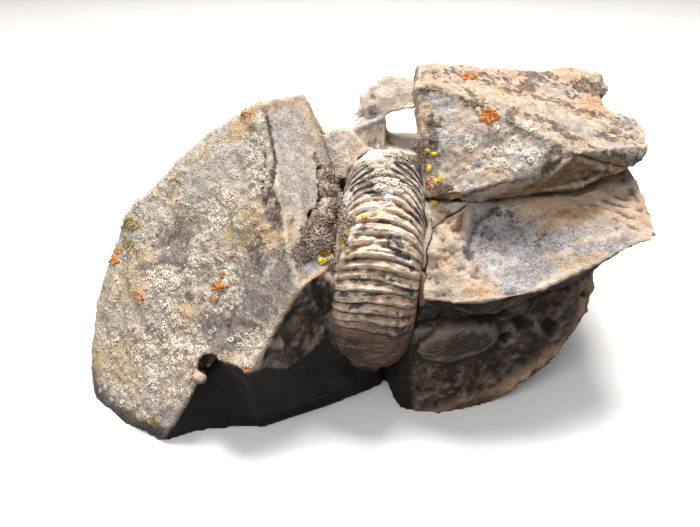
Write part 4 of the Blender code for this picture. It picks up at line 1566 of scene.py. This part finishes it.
rings = ring_material()
add_rings("slab_rings", [
    (180, 310, 100, 130, 650), (222, 205, 24, 26, 220), (257, 165, 12, 44, 130), (236, 250, 4, 50, 60),
    (200, 270, 40, 14, 220), (150, 380, 60, 50, 260), (245, 340, 18, 18, 60), (190, 340, 30, 20, 160),
    (160, 290, 20, 40, 160),
], ["rock"], 0.55, 1.0, 0.55, off_bare_stone)
add_rings("right_rings", [
    (529, 127, 9, 8, 22), (514, 148, 8, 11, 26), (491, 153, 10, 7, 18), (500, 165, 16, 6, 14),
    (470, 148, 3, 3, 3), (439, 131, 2, 2, 1), (495, 126, 10, 8, 9), (478, 112, 4, 3, 3),
    (452, 130, 3, 2, 2), (535, 155, 12, 8, 8),
], ["block"], 0.7, 1.1)
add_rings("shell_rings", [
    (380, 172, 6, 8, 9), (388, 182, 16, 5, 22), (384, 190, 10, 4, 8), (400, 190, 5, 3, 4),
    (324, 202, 4, 5, 6), (325, 208, 5, 4, 5),
], ["shell", "rock", "moss"], 0.7, 1.1)

# %% [markdown]
# ## Orange, yellow and olive lichens
#
# Other lichens are heaps of coloured grains. Colour alone would lie flat on the stone, and at
# this distance the grains show, so they are copies of one small lump.


# %% Orange, yellow and olive lichens
def grain_material(name, deep, bright):
    """A deep and a bright tone with noise between them."""
    recipe = Recipe(name)
    fine = recipe.noise(0.6)
    colour = recipe.blend(deep, bright, fine.rise(0.35, 0.6))
    return recipe.finish(colour, 0.7 + 0.2 * fine, fine, 0.08, specular=0.3)


def add_grains(name, patches, small, large, material):
    """Grains strewn in patches wherever they land, as one piece."""
    points, normals = landings(strewn(patches), surfaces)
    sizes = rng.uniform(small, large, len(points))
    spins = random_spins(len(points))
    verts, faces = copied(grain_verts, grain_faces, points, normals, sizes, spins)
    piece = add_mesh(name, verts, faces)
    dress(piece, None, material, {})
    print(name, len(points), "grains")


orange = grain_material("orange_lichen", tone(150, 82, 38), tone(218, 146, 78))
yellow = grain_material("yellow_lichen", tone(196, 142, 20), tone(246, 206, 60))
olive = grain_material("olive_lichen", tone(128, 110, 66), tone(182, 158, 104))
add_grains("orange_grains", [
    (490, 115, 11, 8, 190), (468, 77, 9, 4, 50), (219, 287, 10, 5, 60), (223, 274, 4, 4, 18),
    (139, 296, 6, 8, 34), (113, 261, 9, 6, 50), (246, 114, 6, 3, 12), (437, 190, 9, 4, 26),
    (213, 300, 4, 3, 8), (246, 370, 3, 5, 12), (100, 405, 9, 8, 26), (431, 183, 5, 8, 18),
    (232, 255, 2, 3, 5), (118, 250, 8, 5, 16), (455, 196, 14, 3, 14),
], 0.3, 0.72, orange)
add_grains("yellow_grains", [
    (325, 252, 5, 3, 16), (322, 262, 3, 3, 8), (434, 203, 3, 2, 9), (434, 155, 2, 2, 3),
    (428, 151, 2, 1, 2), (440, 179, 2, 2, 5), (429, 168, 2, 3, 5), (343, 240, 2, 3, 6),
    (347, 232, 2, 3, 5), (366, 217, 3, 1, 4),
], 0.65, 1.05, yellow)
add_grains("olive_grains", [
    (130, 224, 11, 9, 90), (128, 247, 7, 6, 36), (160, 338, 6, 5, 24), (172, 180, 10, 4, 24),
    (150, 420, 10, 6, 20),
], 0.3, 0.65, olive)

# %% [markdown]
# ## Moss
#
# The moss has dried to a brown felt of tiny leaves with pale tips. Hair would make it, but hair is
# lost when the piece is passed on, so each leaf is a thin three-sided spike. They stand all over
# the cushion, and stray ones grow in the cracks and beside the shell.


# %% Moss
def moss_material():
    """Brown by noise, and pale at the leaves' tips, which the tip mask marks."""
    recipe = Recipe("dry_moss")
    fine = recipe.noise(0.35, 4.0)
    middle = recipe.noise(2.0, 3.0)
    clouds = (fine + 0.4 * (middle - 0.5)).rise(0.4, 0.65)
    colour = recipe.blend(tone(98, 81, 73), tone(196, 172, 156), clouds)
    tips = recipe.mask("tip") * fine.rise(0.43, 0.55) * 0.9
    colour = recipe.blend(colour, tone(232, 215, 198), tips)
    return recipe.finish(colour, 0.9 + 0.1 * fine, fine, 0.15, specular=0.15)


moss = moss_material()
points, normals = landings(strewn([
    (320, 232, 19, 27, 2300), (326, 182, 9, 17, 700), (333, 212, 9, 12, 400), (344, 216, 6, 8, 120),
    (338, 188, 7, 16, 350), (306, 232, 8, 14, 300), (345, 230, 6, 20, 350), (352, 220, 5, 8, 120),
    (422, 148, 7, 16, 300), (440, 188, 15, 6, 300), (402, 160, 8, 5, 150), (330, 262, 10, 5, 120),
    (312, 250, 8, 8, 200), (425, 90, 4, 3, 20),
]), surfaces)
POINTS_PER_LEAF = 6
seats = np.concatenate([points, moss_done[::POINTS_PER_LEAF]])
lean = leaning(np.concatenate([normals, cushion.normals[::POINTS_PER_LEAF]]), 0.55)
sizes = rng.uniform(0.5, 1.0, len(seats))
verts, faces = copied(leaf_verts, leaf_faces, seats, lean, sizes, random_spins(len(seats)))
moss_piece = add_mesh(
    "moss",
    np.concatenate([moss_done, verts]),
    np.concatenate([halved(moss_faces), faces + len(moss_done)]),
)
leaf_tip = np.tile(np.repeat([1.0, 0.4, 0.0], [1, LEAF_SIDES, LEAF_SIDES + 1]), len(seats))
dress(moss_piece, "moss_cushion", moss, {
    "tip": np.concatenate([np.zeros(len(moss_done)), leaf_tip]),
})
print("moss:", len(seats), "leaves")

# %% [markdown]
# ## The floor's finish
#
# The floor is a warm near-white. One plain tone would do, but a little unevenness keeps the
# shadows on it from looking flat. It comes last because it uses the same recipe helper as the
# stone.


# %% The floor's finish
def floor_material():
    """Two near-whites with broad noise between them."""
    recipe = Recipe("pale_floor")
    speckle = recipe.noise(30.0, 3.0)
    colour = recipe.blend(tone(244, 243, 240), tone(250, 249, 247), speckle)
    return recipe.finish(colour, 0.85 + 0.1 * speckle, speckle, 0.01, specular=0.2)


floor.data.materials.append(floor_material())
print("the floor wears", floor.data.materials[0].name)

# %% [markdown]
# ## The last line
#
# The dressed object stays within a millimetre of the solids' own box, and both boxes are printed.

# %% Sizes and finish
sizes = {"cad": [list(map(float, corner)) for corner in cad_box],
         "visual": [list(map(float, corner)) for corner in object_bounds()]}
print("sizes in metres:", sizes)
